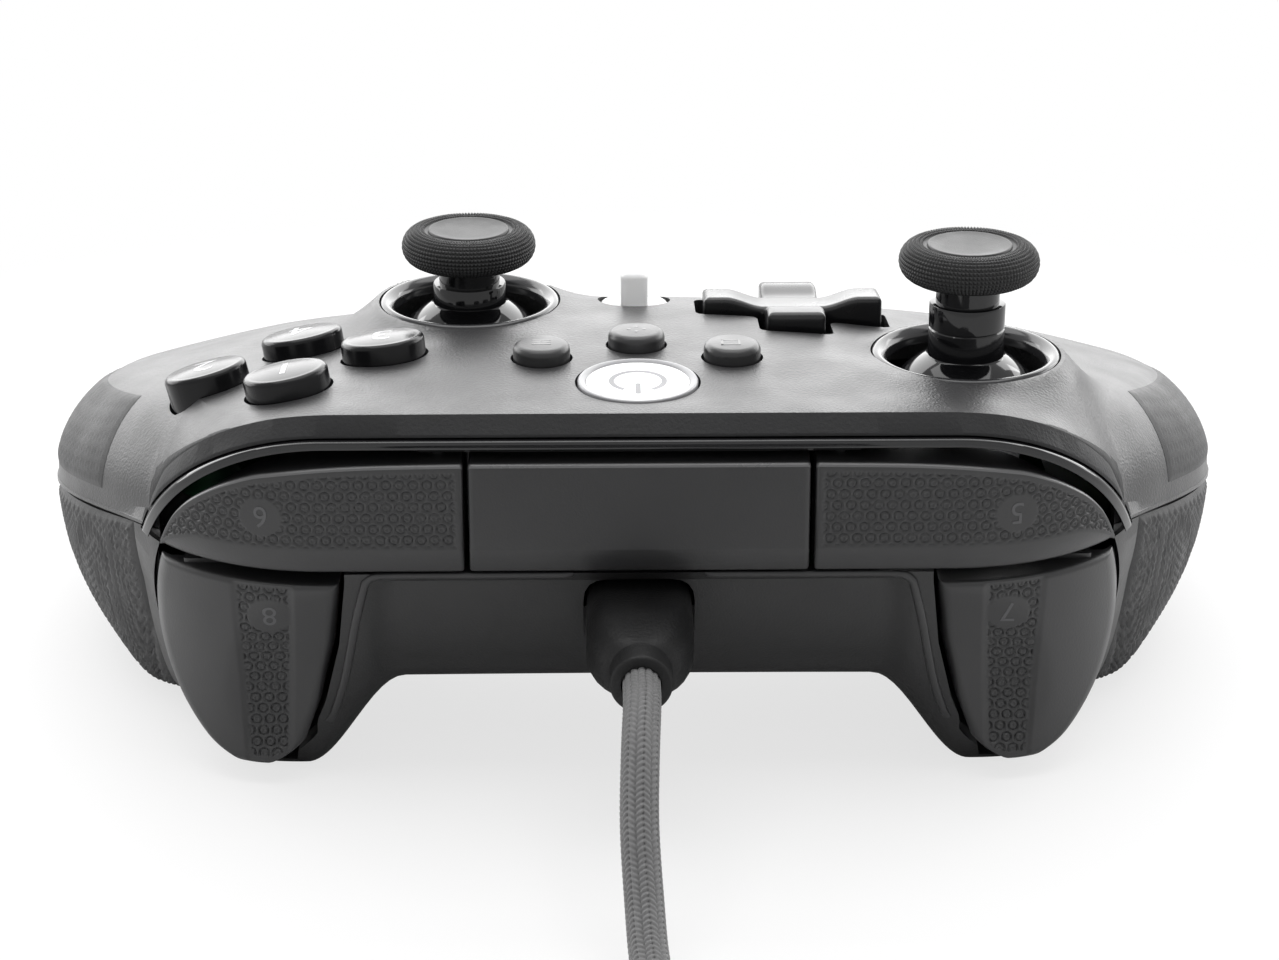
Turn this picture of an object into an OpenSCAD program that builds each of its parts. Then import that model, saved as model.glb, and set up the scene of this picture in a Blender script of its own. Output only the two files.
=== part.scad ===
// Wired pro gamepad: two shells, thumbsticks, cross pad, buttons, bumpers, triggers, dial and cord.
// Millimetres. X runs across the grips, Y from the front face to the grip tips, Z up from the floor.

/* [Body] */
// Width over the grips
body_w = 156; // [150:1:162]
// Depth from the front face to the grip tips
body_d = 107; // [104:1:112]
// Height of the face at its crown
face_z = 48.9; // [48:0.1:50]
// Radius of the bowed face
face_bow = 238; // [220:1:300]
// Shell wall
wall = 2.4; // [2:0.1:2.8]
// Height of the seam at the front
seam_z = 32.5; // [31.5:0.1:33.5]
// Height of the belly above the floor
belly_z = 11.5; // [10.5:0.1:12.5]
// Gap in the seam between the shells
seam_gap = 0.15; // [0.1:0.05:0.3]
// Thickness of the rubber grips
grip_t = 1.2; // [0.8:0.1:1.6]

/* [Front] */
// Half length of the straight front
front_flat = 37.5; // [36:0.1:38]
// Plan radius of the front corners
corner_r = 28; // [27:0.1:29]
// Radius of the arch in the top shell, seen from the front
arch_r = 25.6; // [25.4:0.1:26]
// Width of the dark bevel along the arch
bevel_w = 1.7; // [1.4:0.1:2]
// Height of the dark bevel along the arch
bevel_h = 2; // [1.6:0.05:2.2]
// Half width of the centre panel
panel_w = 20.3; // [19.5:0.1:20.6]
// Underside of the centre panel and the bumpers
bumper_z = 29.2; // [29:0.1:29.6]
// Top of the bumpers beside the centre panel
bumper_top = 43.5; // [42.8:0.1:43.5]
// Depth of the bumpers
bumper_d = 7.2; // [7:0.1:7.5]
// Press angle of a bumper
bumper_press = 2; // [1:0.1:2]

/* [Triggers] */
// Radius of the trigger outline, seen from the front
trigger_r = 22.2; // [21.5:0.1:22.4]
// Top of the trigger
trigger_top = 27.6; // [27:0.1:27.8]
// Bottom of the trigger
trigger_low = 2.8; // [2.6:0.1:4]
// Hollow of the trigger face, as a radius
trigger_hollow = 30; // [29:0.5:34]
// Diameter of the trigger hinge pin
trigger_pin_dia = 2.5; // [2:0.1:2.8]
// Press angle of a trigger
trigger_press = 14; // [8:0.5:14]

/* [Sticks] */
// Outer diameter of the ring round a stick
ring_dia = 23.6; // [23:0.1:23.8]
// Inner diameter of the ring round a stick
ring_bore = 19.8; // [19.6:0.1:20.2]
// Diameter of a stick cap
cap_dia = 17.6; // [16:0.1:19]
// Thickness of a stick cap
cap_h = 5; // [4.4:0.1:5.6]
// Height of the tall stick
tall_stick_z = 62.6; // [61:0.1:64]
// Height of the short stick
short_stick_z = 58.2; // [57:0.1:59]
// Diameter of the stick neck
neck_dia = 9.5; // [8.5:0.1:9.6]
// Radius of the gloss dome under the neck
dome_r = 10.8; // [10.5:0.1:10.9]
// Tilt of a stick either way
stick_tilt = 15; // [10:0.5:15]
// Press travel of a stick
stick_press = 0.5; // [0.3:0.1:0.5]

/* [Buttons] */
// Diameter of the face buttons
face_button_dia = 10.5; // [10:0.1:11]
// Face button height above the shell
face_button_proud = 2.5; // [2.2:0.1:3]
// Distance of the face buttons from their centre
face_button_pitch = 11; // [10.6:0.1:11.5]
// Diameter of the small round buttons
small_button_dia = 7.1; // [6.5:0.1:7.4]
// Diameter of the home disc with its rim
home_dia = 14.7; // [14:0.1:15.2]
// Gap round a button
button_gap = 0.3; // [0.25:0.05:0.4]
// Span of the cross pad
pad_span = 23.2; // [22.6:0.1:23.6]
// Width of a cross pad arm
pad_arm = 7.5; // [7:0.1:8]
// Diameter of the volume dial
dial_dia = 9; // [8.5:0.1:9.4]
// Height of the bar on the dial
dial_bar_h = 4.1; // [3:0.1:4.5]

/* [Inside] */
// Thickness of the circuit boards
board_t = 1.6; // [1.2:0.1:1.8]
// Diameter of a rumble motor
motor_dia = 16; // [14:0.5:16.5]
// Radius of a rumble weight
weight_r = 8.6; // [7.5:0.1:9]
// Diameter of the headset jack bore
jack_bore = 3.6; // [3.5:0.05:3.7]

/* [Cord] */
// Diameter of the braided cord
cord_dia = 4.5; // [4:0.1:4.6]
// Height of the plug axis above the floor
plug_z = 22; // [21.8:0.1:22.4]
// Width of the plug body
plug_w = 12.9; // [12:0.1:13]
// Turns in each layer of the coil
coil_turns = 3.9; // [3.4:0.1:4.4]
// Inner radius of the coil
coil_r = 15.8; // [15:0.1:17]

/* [Hidden] */
$fn = 48;
eps = 0.01;

plastic = [0.08, 0.08, 0.09];
gloss = [0.03, 0.03, 0.035];
rubber = [0.05, 0.05, 0.05];
steel = [0.7, 0.7, 0.72];
pale = [0.92, 0.92, 0.92];
board_green = [0.1, 0.3, 0.16];

// Depths are measured back from the front face, and Y is centred on the body
function at(d) = d - body_d/2;
function mix(a, b, t) = a + (b - a)*t;
function soft(t) = let (c = min(1, max(0, t))) c*c*(3 - 2*c);
function ramp(v, w) = (sqrt(v*v + w*w) + v)/2;
function bez(p, t) = p[0]*pow(1 - t, 3) + p[1]*3*t*pow(1 - t, 2) + p[2]*3*t*t*(1 - t) + p[3]*pow(t, 3);

// Face, seam and underside as heights over the plan
crown_d = 24;
seam_fall = 0.19;
// The face is flat across the front and bows evenly behind
function bow_at(d) = soft((d - 3)/42);
function face_at(x, d) = face_z - pow(d - crown_d, 2)/(2*(d < crown_d ? 320 : face_bow)) - 0.1*ramp(d - 52, 6)
    - pow(max(0, abs(x) - 37*(1 - bow_at(d))), 2)/(2*mix(30, face_bow, bow_at(d)));
function seam_at(d) = seam_z - seam_fall*d;
function belly_at(x, d) = (belly_z + 0.6)*(1 - soft((abs(x) - 29)/12.5)) - 0.6
    + 2.4*exp(-pow((d - 44)/20, 2))*soft((abs(x) - 29)/12.5);
// Height of the arch rim in the top shell over x, and of the rim round the triggers below
corner_z = 20.6;
rim_r = trigger_r + 2.4;
function past_flat(x) = max(0, abs(x) - front_flat);
function rim_at(x) = let (t = past_flat(x)) t < arch_r ? corner_z + sqrt(arch_r*arch_r - t*t) : 0;
function foot_at(x) = let (t = min(rim_r, past_flat(x))) corner_z - sqrt(rim_r*rim_r - t*t);
// The underside follows the triggers at the front
function floor_at(x, d) = let (b = belly_at(x, d)) b + ramp(foot_at(x) - b, 1)*soft((32 - d)/18);

// Plan outline of the right half: outer edge from the front to the grip tip, inner edge from the rear
lip_d = 1.5;
corner_sweep = 60;
wide_d = 56;
rear_d = 64.5;
tip_x = body_w/2 - 18;
n_front = 4;
n_corner = 6;
n_side = 5;
n_grip = 9;
k_side = n_front + n_corner;
k_wide = k_side + n_side;
k_tip = k_wide + n_grip;
corner_in = corner_r - lip_d;
corner_end = [front_flat + corner_in*sin(corner_sweep), corner_r - corner_in*cos(corner_sweep)];
side_path = [corner_end, corner_end + 16*[cos(corner_sweep), sin(corner_sweep)],
    [body_w/2, wide_d - 18], [body_w/2, wide_d]];
grip_path = [[body_w/2, wide_d], [body_w/2, wide_d + 22], [tip_x + 14, body_d], [tip_x + 3, body_d]];
rear_path = [[0, rear_d], [16, rear_d], [29.2, rear_d + 0.5], [38, rear_d + 13.5]];
fork_path = [[38, rear_d + 13.5], [43.7, rear_d + 21.7], [tip_x - 12, body_d], [tip_x - 3, body_d]];

function outer_pt(k) =
    k <= n_front ? [front_flat*k/n_front, lip_d]
    : k <= k_side ? let (a = corner_sweep*(k - n_front)/n_corner)
        [front_flat + corner_in*sin(a), corner_r - corner_in*cos(a)]
    : k <= k_wide ? bez(side_path, (k - k_side)/n_side)
    : bez(grip_path, sin(90*(k - k_wide)/n_grip));
function inner_pt(k) =
    k <= n_front ? bez(rear_path, 0.45*k/n_front)
    : k <= k_side ? bez(rear_path, mix(0.45, 0.8, (k - n_front)/n_corner))
    : k <= k_wide ? bez(rear_path, mix(0.8, 1, (k - k_side)/n_side))
    : bez(fork_path, sin(90*(k - k_wide)/n_grip));

// Roll-off lengths at the outer and inner edges
function out_top(k) = mix(5, 12, soft((k - n_front)/n_corner));
function out_low(k) = mix(mix(10, 6, soft((k - n_front)/4)), 13, soft((k - k_side + 1)/(n_side + 1)));
function in_top(k) = mix(11, 12, soft(k/k_side));
function in_low(k) = mix(14, 12, soft(k/k_side));

n_roll = 4;
n_mid = 6;
// Steps across the underside, with one just past the edge of the grips
low_steps = [0, 1, 1.1, 2, 3, 4, 5, 6];
grip_cap = 24;
function span_of(k) = norm(inner_pt(k) - outer_pt(k));
function cap_of(k, off) = 1 - pow(1 - min(1, span_of(k)/grip_cap), 1.6);
// One point of a section, s along it from the outer edge
function on_section(k, off, s) = let (o = outer_pt(k), i = inner_pt(k), u = (i - o)/norm(i - o)) o + u*(off + s);
function top_point(k, off, s, f) = let (p = on_section(k, off, s), z0 = seam_at(p[1]))
    [p[0], at(p[1]), z0 + max(0, (face_at(p[0], p[1]) - z0)*cap_of(k, off) - off)*f];
function low_point(k, off, s, f, cut) = let (p = on_section(k, off, s), z0 = seam_at(p[1]) - cut)
    [p[0], at(p[1]), z0 - max(0, (z0 - floor_at(p[0], p[1]))*cap_of(k, off) - off)*f];

// Upper half of a section: a short wall up to the rim, the bevel, the face and the rear roll-off
function top_section(k, off) = let (
    len = span_of(k) - 2*off,
    ro = min(out_top(k), len*0.45),
    ri = min(in_top(k), len*0.45),
    fade = soft((k_side - k)/1.5),
    o = on_section(k, off, 0),
    z0 = seam_at(o[1]),
    top = z0 + (face_at(o[0], o[1]) - z0)*cap_of(k, off),
    rim = k <= k_side ? max(rim_at(outer_pt(k)[0]), z0 + 0.5) : z0 + 0.5,
    land = mix(z0 + min(0.5, (top - z0)*0.2), min(rim, top - bevel_h), fade) - off*fade,
    w = min(mix(0.3, bevel_w, fade), ro*0.4),
    edge = land + mix(min(0.8, (top - z0)*0.3), bevel_h, fade)
) concat(
    [[o[0], at(o[1]), z0], [o[0], at(o[1]), land]],
    [for (j = [0:n_roll - 1]) let (a = 90*j/n_roll, s = w + (ro - w)*(1 - cos(a)), q = top_point(k, off, s, 1))
        [q[0], q[1], edge + max(0, q[2] - edge)*sin(a)]],
    [for (j = [0:n_mid]) top_point(k, off, mix(ro, len - ri, j/n_mid), 1)],
    [for (j = [n_roll - 1:-1:0]) let (a = 90*j/n_roll) top_point(k, off, len - ri*(1 - cos(a)), sin(a))]);
function low_section(k, off, cut) = let (
    len = span_of(k) - 2*off,
    ro = min(out_low(k), len*0.45),
    ri = min(in_low(k), len*0.45)
) concat(
    [for (j = [0:n_roll - 1]) let (a = 90*j/n_roll) low_point(k, off, ro*(1 - cos(a)), sin(a), cut)],
    [for (j = low_steps) low_point(k, off, mix(ro, len - ri, j/n_mid), 1, cut)],
    [for (j = [n_roll - 1:-1:0]) let (a = 90*j/n_roll) low_point(k, off, len - ri*(1 - cos(a)), sin(a), cut)]);
function flip(l) = [for (j = [len(l) - 1:-1:0]) l[j]];
function flip_x(l) = [for (p = l) [-p[0], p[1], p[2]]];
function inside(l) = [for (j = [1:len(l) - 2]) l[j]];
// Rings from the left grip tip to the right one
function both_ways(half) = concat([for (j = [len(half) - 1:-1:1]) flip_x(half[j])], half);

// Closed skin through rings of equal length, with its quads split along one diagonal or the other
module skin(rings, other = false) {
    m = len(rings);
    n = len(rings[0]);
    polyhedron(
        points = [for (r = rings) for (p = r) p],
        faces = concat(
            [for (i = [0:m - 2]) for (j = [0:n - 1])
                [i*n + j, (i + 1)*n + j, (other ? i + 1 : i)*n + (j + 1)%n]],
            [for (i = [0:m - 2]) for (j = [0:n - 1])
                [i*n + (j + 1)%n, (other ? i : i + 1)*n + j, (i + 1)*n + (j + 1)%n]],
            [for (j = [1:n - 2]) [0, j, j + 1]],
            [for (j = [1:n - 2]) [(m - 1)*n, (m - 1)*n + j + 1, (m - 1)*n + j]]),
        convexity = 8);
}

// Sections along the body, close together at both ends of the rubber grips
k_inner = k_tip - 5;
k_grip = k_side + 0.6;
k_grip_end = k_wide + 5;
grip_n = n_roll + 1;
grip_ks = concat([k_grip], [for (k = [k_side + 1:k_grip_end]) k]);
lower_ks = concat([for (k = [0:k_side]) k], [k_grip - 0.1], grip_ks, [k_grip_end + 0.08],
    [for (k = [k_grip_end + 1:k_tip]) k]);
module upper_body() {
    skin(both_ways([for (k = [0:k_tip]) flip(top_section(k, 0))]));
}
module lower_body() {
    skin(both_ways([for (k = lower_ks) let (a = low_section(k, 0, seam_gap), b = low_section(k, grip_t, seam_gap))
        k < grip_ks[0] || k > k_grip_end ? a : [for (j = [0:len(a) - 1]) j <= grip_n ? b[j] : a[j]]]));
}
module cavity() {
    skin(both_ways([for (k = [0:k_inner])
        flip(concat(top_section(k, wall), flip(inside(low_section(k, wall, 0)))))]));
}

// Plan of everything behind the front curve, set back by an inset
module front_plan(inset) {
    translate([-front_flat, at(inset)]) square([2*front_flat, 40]);
    for (s = [-1, 1]) translate([s*front_flat, at(corner_r)]) circle(corner_r - inset, $fn = 96);
}
// Front view outlines, x across and y up, pushed back from the front
module push_back(d0, d1) {
    translate([0, at(d1), 0]) rotate([90, 0, 0]) linear_extrude(d1 - d0) children();
}
module arch_outline(r, low) {
    translate([-front_flat, low]) square([2*front_flat, corner_z + r - low]);
    for (s = [-1, 1]) translate([s*front_flat, corner_z]) intersection() {
        circle(r, $fn = 96);
        translate([-r, low - corner_z]) square([2*r, 2*r]);
    }
}
module front_opening(low, depth) {
    intersection() {
        push_back(-2, 30) arch_outline(arch_r - 0.4, low);
        translate([-bumper_end - 0.7, -body_d, 0]) cube([2*bumper_end + 1.4, 2*body_d, 60]);
        translate([0, 0, 10]) linear_extrude(50) difference() {
            front_plan(-3);
            front_plan(depth);
        }
    }
}
module trigger_outline(s, grow, low) {
    intersection() {
        translate([s*front_flat, corner_z]) circle(trigger_r + grow, $fn = 96);
        polygon([[s*(36 - grow), 40], [s*62, 40], [s*62, low], [s*(43.8 - grow), low],
            [s*(41 - grow), 5.8], [s*(39 - grow), 10.9], [s*(37 - grow), 18.9], [s*(36 - grow), trigger_top]]);
    }
}

// Face pieces: places on the face and the axis of each, square to the bowed face
ring_top = 48.4;
ring_h = 2;
pivot_z = 38.3;
left_stick = [41.2, 26];
right_stick = [-21.6, rear_d - 16.5];
pad_at = [20.6, rear_d - 17.7];
face_buttons = [-42.5, 26];
menu_at = [-11.8, 22.5];
view_at = [11.8, 22.5];
share_at = [0, 27.5];
home_at = [0, 13.9];
dial_at = [0, rear_d - 13.5];
function lean_x(p) = face_at(p[0] - 0.5, p[1]) - face_at(p[0] + 0.5, p[1]);
function lean_y(p) = face_at(p[0], p[1] - 0.5) - face_at(p[0], p[1] + 0.5);
module on_face(p) {
    translate([p[0], at(p[1]), face_at(p[0], p[1])])
        rotate([-atan(lean_y(p)), atan(lean_x(p)), 0]) children();
}
function button_at(n) = face_buttons + face_button_pitch*[[0, -1], [-1, 0], [1, 0], [0, 1]][n - 1];

// Inner mountings shared by several pieces
front_screw = [29.5, 12.5];
grip_screw = [tip_x - 3, body_d - 16];
screw_dia = 2.5;
screw_z = 27.2;
tab_t = 2;
plate_d = 10;
board_z = 30.4;
board_front = 17.5;
board_rear = rear_d - 7.5;
board_w = 2*(face_button_pitch - face_buttons[0] - 1.5);
main_z = plug_z - 3.3;
main_front = 8;
main_rear = rear_d - 6.5;
main_w = 50;
jack_z = main_z + board_t + 3;
pin_d = 13;
pin_z = 30.2;
motor_at = [body_w/2 - 19, 62];
motor_l = 12;
motor_z = 15.5;
pin_gap = 0.2;
bumper_end = 58.2;
bumper_pin = [24, 4.6];
bumper_pin_dia = 2;

module tube_z(p, d, z0, z1) {
    translate([p[0], at(p[1]), z0]) cylinder(h = z1 - z0, d = d);
}

// Top shell
module collar(p) {
    translate([p[0], at(p[1]), 38])
        cylinder(h = ring_top - 38 - 0.3, r1 = ring_dia/2 + 5.8, r2 = ring_dia/2 + 0.9, $fn = 72);
}
module stick_hole(p) {
    tube_z(p, ring_dia + 0.2, ring_top - ring_h, ring_top + 4);
    tube_z(p, 2*dome_r + 1, 30, ring_top);
}
module top_shell() {
    color(plastic) difference() {
        union() {
            difference() {
                union() {
                    upper_body();
                    collar(left_stick);
                    collar(right_stick);
                }
                cavity();
            }
            for (s = [-1, 1]) {
                tube_z([s*front_screw[0], front_screw[1]], 6.4, screw_z + tab_t, face_z - 1.6);
                tube_z([s*grip_screw[0], grip_screw[1]], 6.4, seam_at(grip_screw[1]), 26);
            }
        }
        front_opening(corner_z, lip_d + wall + 2.2);
        stick_hole(left_stick);
        stick_hole(right_stick);
        for (n = [1:4]) on_face(button_at(n))
            translate([0, 0, -9]) cylinder(h = 20, d = face_button_dia + 2*button_gap);
        for (p = [menu_at, view_at, share_at]) on_face(p)
            translate([0, 0, -9]) cylinder(h = 20, d = small_button_dia + 2*button_gap);
        on_face(home_at) translate([0, 0, -9]) cylinder(h = 20, d = home_dia + 2*button_gap);
        translate([pad_at[0], at(pad_at[1]), 44]) for (a = [0, 90]) rotate(a)
            cube([pad_span + 2.4, pad_arm + 2.2, 16], center = true);
        tube_z(dial_at, dial_dia + 2*button_gap, 40, 52);
        for (s = [-1, 1]) {
            tube_z([s*front_screw[0], front_screw[1]], screw_dia + 0.2, 20, 42);
            tube_z([s*grip_screw[0], grip_screw[1]], screw_dia + 0.2, 5, 22);
        }
        translate([0, at(rear_d - 8), jack_z]) rotate([-90, 0, 0]) cylinder(h = 14, d = 6.4);
    }
}

// Bottom shell with the trigger wells, posts, pin lugs and motor saddles
module bottom_post(p, z1) {
    tube_z(p, 5, floor_at(p[0], p[1]) + wall/2, z1);
}
module bottom_shell() {
    color(plastic) difference() {
        union() {
            difference() {
                lower_body();
                cavity();
                for (s = [-1, 1]) push_back(-2, 18) trigger_outline(s, 1.2, -2);
            }
            for (s = [-1, 1]) {
                tube_z([s*front_screw[0], front_screw[1]], 6.4, belly_z + 0.6, screw_z);
                tube_z([s*grip_screw[0], grip_screw[1]], 6.4, 1.2, seam_at(grip_screw[1]));
                bottom_post([s*31, 24], board_z);
                bottom_post([s*31, board_rear - 5], board_z);
                bottom_post([s*20, 16], main_z);
                bottom_post([s*20, main_rear - 8], main_z);
                translate([s*34.6 - 0.7, at(9.5), 8]) cube([1.4, 7, pin_z - 8 + 2.4]);
                translate([s*56.5 - 0.7, at(pin_d - 1.8), pin_z - 2.2]) cube([1.4, 9.3, 4.6]);
                translate([s*56.5 - 0.7, at(pin_d + 5.3), 4.4]) cube([1.4, 2.2, pin_z - 4.4]);
                translate([s*motor_at[0] - 6, at(motor_at[1] + 3), 1.2]) cube([12, 6, motor_z - 3.2]);
            }
        }
        front_opening(bumper_z - 0.5, lip_d + 2*wall + 3);
        for (s = [-1, 1]) {
            translate([s*front_screw[0], at(front_screw[1]), 0]) cylinder(h = 17, d = 5.6);
            tube_z([s*front_screw[0], front_screw[1]], screw_dia + 0.4, 10, 40);
            translate([s*grip_screw[0], at(grip_screw[1]), -1]) cylinder(h = 5, d = 5.6);
            tube_z([s*grip_screw[0], grip_screw[1]], screw_dia + 0.4, 1, 30);
            translate([s*46 - 14, at(pin_d), pin_z]) rotate([0, 90, 0])
                cylinder(h = 28, d = trigger_pin_dia);
            translate([s*motor_at[0], at(motor_at[1] - 2), motor_z]) rotate([-90, 0, 0])
                cylinder(h = motor_l + 8, d = motor_dia);
        }
        translate([0, at(rear_d - 8), jack_z]) rotate([-90, 0, 0]) cylinder(h = 14, d = 6.4);
        push_back(-2, 5.2) translate([0, plug_z]) square([plug_w + 0.6, 10.6], center = true);
        push_back(5, 9) translate([0, plug_z]) square([socket_w + 0.6, socket_h + 1], center = true);
        translate([-body_w, -body_d, -10]) cube([2*body_w, 2*body_d, 10]);
    }
}

// Rubber grips let into the sides of the bottom shell, flat where the part stands on them
function stood(p) = [p[0], p[1], max(0, p[2])];
module grip(s) {
    color(rubber) mirror([s < 0 ? 1 : 0, 0, 0]) skin([for (k = grip_ks) let (
        a = low_section(k, 0, seam_gap),
        b = low_section(k, grip_t - 0.25, seam_gap)
    ) concat([for (j = [0:grip_n]) stood(a[j])], [for (j = [grip_n:-1:0]) b[j]])], other = true);
}

// Front frame: gloss lip, back plate, webs, screw tabs and bumper pins
lip_back = 4.6;
web_w = 26.4;
module front_frame() {
    color(gloss) difference() {
        union() {
            intersection() {
                push_back(-2, 30) difference() {
                    arch_outline(arch_r - 0.6, bumper_z + 0.9);
                    arch_outline(arch_r - 1.6, bumper_z - 2);
                }
                translate([0, 0, 20]) linear_extrude(40) intersection() {
                    difference() {
                        front_plan(2.3);
                        front_plan(lip_back);
                    }
                    translate([-bumper_end - 0.5, -body_d]) square([2*bumper_end + 1, 2*body_d]);
                }
            }
            push_back(plate_d, plate_d + 1.4) translate([-web_w, bumper_z - 1])
                square([2*web_w, bumper_top + 0.7 - bumper_z + 1]);
            translate([-web_w, at(3.4), bumper_top + 0.2]) cube([2*web_w, plate_d - 2.4, 0.5]);
            translate([-17, at(3), bumper_top + 0.3]) cube([34, plate_d - 2, 1.1]);
            for (s = [-1, 1]) {
                translate([s*29.5 - 4, at(plate_d), screw_z]) cube([8, 6, tab_t]);
                tube_z([s*bumper_pin[0], bumper_pin[1]], bumper_pin_dia, bumper_z + 0.4, bumper_top + 0.5);
            }
        }
        for (s = [-1, 1]) tube_z([s*front_screw[0], front_screw[1]], screw_dia + 0.4, 20, 40);
        on_face(home_at) translate([0, 0, -7]) cylinder(h = 10, d = home_dia + 3);
    }
}

module center_panel() {
    color(plastic) difference() {
        push_back(0, plate_d) translate([-panel_w, bumper_z - 0.1])
            square([2*panel_w, bumper_top - bumper_z + 0.1]);
        push_back(2.4, plate_d + 1) translate([-panel_w + 2, bumper_z + 2])
            square([2*panel_w - 4, bumper_top - bumper_z - 4]);
        translate([-30, at(-eps), bumper_top - 0.9]) rotate([38, 0, 0]) cube([60, 2, 2]);
        on_face(home_at) translate([0, 0, -6.2]) cylinder(h = 10, d = home_dia + 2.6);
    }
}

// Bumpers turn on upright pins at their inner ends
module bumper_outline(s, inset, low) {
    polygon([[s*(panel_w + 0.6 + inset), low], [s*(panel_w + 0.6 + inset), bumper_top - inset],
        [s*30, bumper_top - 0.6 - inset], [s*39.5, bumper_top - 1.7 - inset], [s*46, bumper_top - 3.4 - inset],
        [s*50.4, bumper_top - 5.4 - inset], [s*54.2, bumper_top - 8 - inset*1.2],
        [s*(bumper_end - 1.2 - inset), bumper_top - 11.2 - inset], [s*(bumper_end - inset), low]]);
}
module bumper(s) {
    color(plastic) difference() {
        intersection() {
            push_back(-1, bumper_d) bumper_outline(s, 0, bumper_z);
            translate([0, 0, 20]) linear_extrude(40) difference() {
                front_plan(0);
                front_plan(bumper_d);
            }
        }
        intersection() {
            push_back(-1, 30) bumper_outline(s, 2, bumper_z - 2);
            translate([0, 0, 20]) linear_extrude(40) difference() {
                front_plan(2.2);
                front_plan(bumper_d + 3);
            }
            translate([s*60 - 31, -80, 0]) cube([62, 80, 60]);
        }
        tube_z([s*bumper_pin[0], bumper_pin[1]], bumper_pin_dia + 2*pin_gap, 20, 60);
    }
}

// Triggers swing on a cross pin behind the bumpers
module trigger_side(s, inset) {
    translate([s*46 - 14, at(0), 0]) rotate([90, 0, 90]) linear_extrude(28) difference() {
        polygon([[0.8 + inset, trigger_top - inset], [0.8 + inset, trigger_low + inset],
            [6, trigger_low + inset], [11 + inset, 9 + inset], [11 + inset, trigger_top - inset]]);
        translate([4 - trigger_hollow, 13]) circle(trigger_hollow + inset, $fn = 120);
    }
}
module trigger_block(s, inset) {
    intersection() {
        push_back(-1, 20) trigger_outline(s, -inset, trigger_low);
        trigger_side(s, inset);
        translate([0, 0, -1]) linear_extrude(40) front_plan(0.8 + inset);
    }
}
module trigger(s) {
    color(plastic) difference() {
        union() {
            difference() {
                trigger_block(s, 0);
                trigger_block(s, 1.9);
            }
            translate([s*46.5 - 9, at(8.4), trigger_top - 3]) cube([18, 5.2, 3.6]);
            translate([s*46.5 - 9, at(pin_d), pin_z]) rotate([0, 90, 0])
                cylinder(h = 18, d = trigger_pin_dia + 2.8);
        }
        translate([s*46 - 14, at(pin_d), pin_z]) rotate([0, 90, 0])
            cylinder(h = 28, d = trigger_pin_dia + 2*pin_gap);
    }
}
module trigger_pin(s) {
    color(steel) translate([s*45.4 - 11.1, at(pin_d), pin_z]) rotate([0, 90, 0])
        cylinder(h = 22.2, d = trigger_pin_dia);
}

// Sticks: ring, cap, neck with dome, stem, yoke and base
module at_stick(p) {
    translate([p[0], at(p[1]), 0]) children();
}
module stick_ring(p) {
    color([0.35, 0.35, 0.37]) at_stick(p) rotate_extrude($fn = 96) polygon([
        [ring_bore/2, ring_top - ring_h], [ring_dia/2, ring_top - ring_h], [ring_dia/2, ring_top - 0.5],
        [ring_dia/2 - 0.5, ring_top], [ring_bore/2 + 0.7, ring_top], [ring_bore/2, ring_top - 0.7]]);
}
knurl_rows = 8;
module stick_cap(p, top) {
    r = cap_dia/2;
    color(rubber) at_stick(p) rotate_extrude($fn = 96) polygon(concat(
        [[0, top - 1.6], [4.6, top - 1.3], [6, top - 0.7], [6.3, top - 0.2], [6.8, top], [r - 1.5, top - 0.1]],
        [for (j = [0:12]) let (a = 70 - 140*j/12)
            [r - 2.2 + 2.2*cos(a), top - cap_h/2 + (cap_h/2 - 0.2)*sin(a)/sin(70)]],
        [[neck_dia/2 - 0.4, top - cap_h], [0, top - cap_h]]));
}
stem_r = 2;
stem_top = 10;
module stick_neck(p, top) {
    under = top - cap_h;
    color(gloss) at_stick(p) difference() {
        union() {
            tube_z([0, body_d/2], neck_dia, pivot_z + dome_r - 1.4, under - 2.5);
            tube_z([0, body_d/2], neck_dia - 1.5, under - 3, under);
            rotate_extrude($fn = 72) intersection() {
                translate([0, pivot_z]) difference() {
                    circle(dome_r, $fn = 96);
                    circle(dome_r - 1.1, $fn = 96);
                }
                polygon([[0, pivot_z], [20*sin(70), pivot_z + 20*cos(70)], [8, pivot_z + 30], [0, pivot_z + 30]]);
            }
            tube_z([0, body_d/2], 2*stem_r + 2.4, pivot_z + 6, pivot_z + dome_r - 0.6);
        }
        tube_z([0, body_d/2], 2*stem_r + 2*pin_gap, pivot_z, pivot_z + stem_top + stick_press + 0.2);
    }
}
yoke_hole = 6.6;
yoke_w = 10;
base_w = 12.8;
module stick_stem(p) {
    color(pale) at_stick(p) translate([0, 0, pivot_z]) {
        translate([0, 0, -1.4]) cylinder(h = stem_top + 1.4, r = stem_r);
        rotate([90, 0, 0]) cylinder(h = yoke_w - 1.6, d = 1.8, center = true);
    }
}
module yoke_shape(z) {
    translate([0, 0, z]) difference() {
        union() {
            cube([yoke_w, yoke_w, 3], center = true);
            rotate([0, 90, 0]) cylinder(h = base_w - 0.2, d = 1.8, center = true);
        }
        cube([yoke_hole, yoke_hole, 4], center = true);
        rotate([90, 0, 0]) cylinder(h = yoke_w + 2, d = 1.8 + 2*pin_gap, center = true);
    }
}
module stick_yoke(p) {
    color(pale) at_stick(p) yoke_shape(pivot_z);
}
module base_shape(z, low, w) {
    difference() {
        translate([-w/2, -w/2, low]) cube([w, w, z + 2 - low]);
        translate([-w/2 + 0.8, -w/2 + 0.8, low + 0.8]) cube([w - 1.6, w - 1.6, 30]);
        translate([0, 0, z]) rotate([0, 90, 0]) cylinder(h = w + 2, d = 1.8 + 2*pin_gap, center = true);
    }
}
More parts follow.
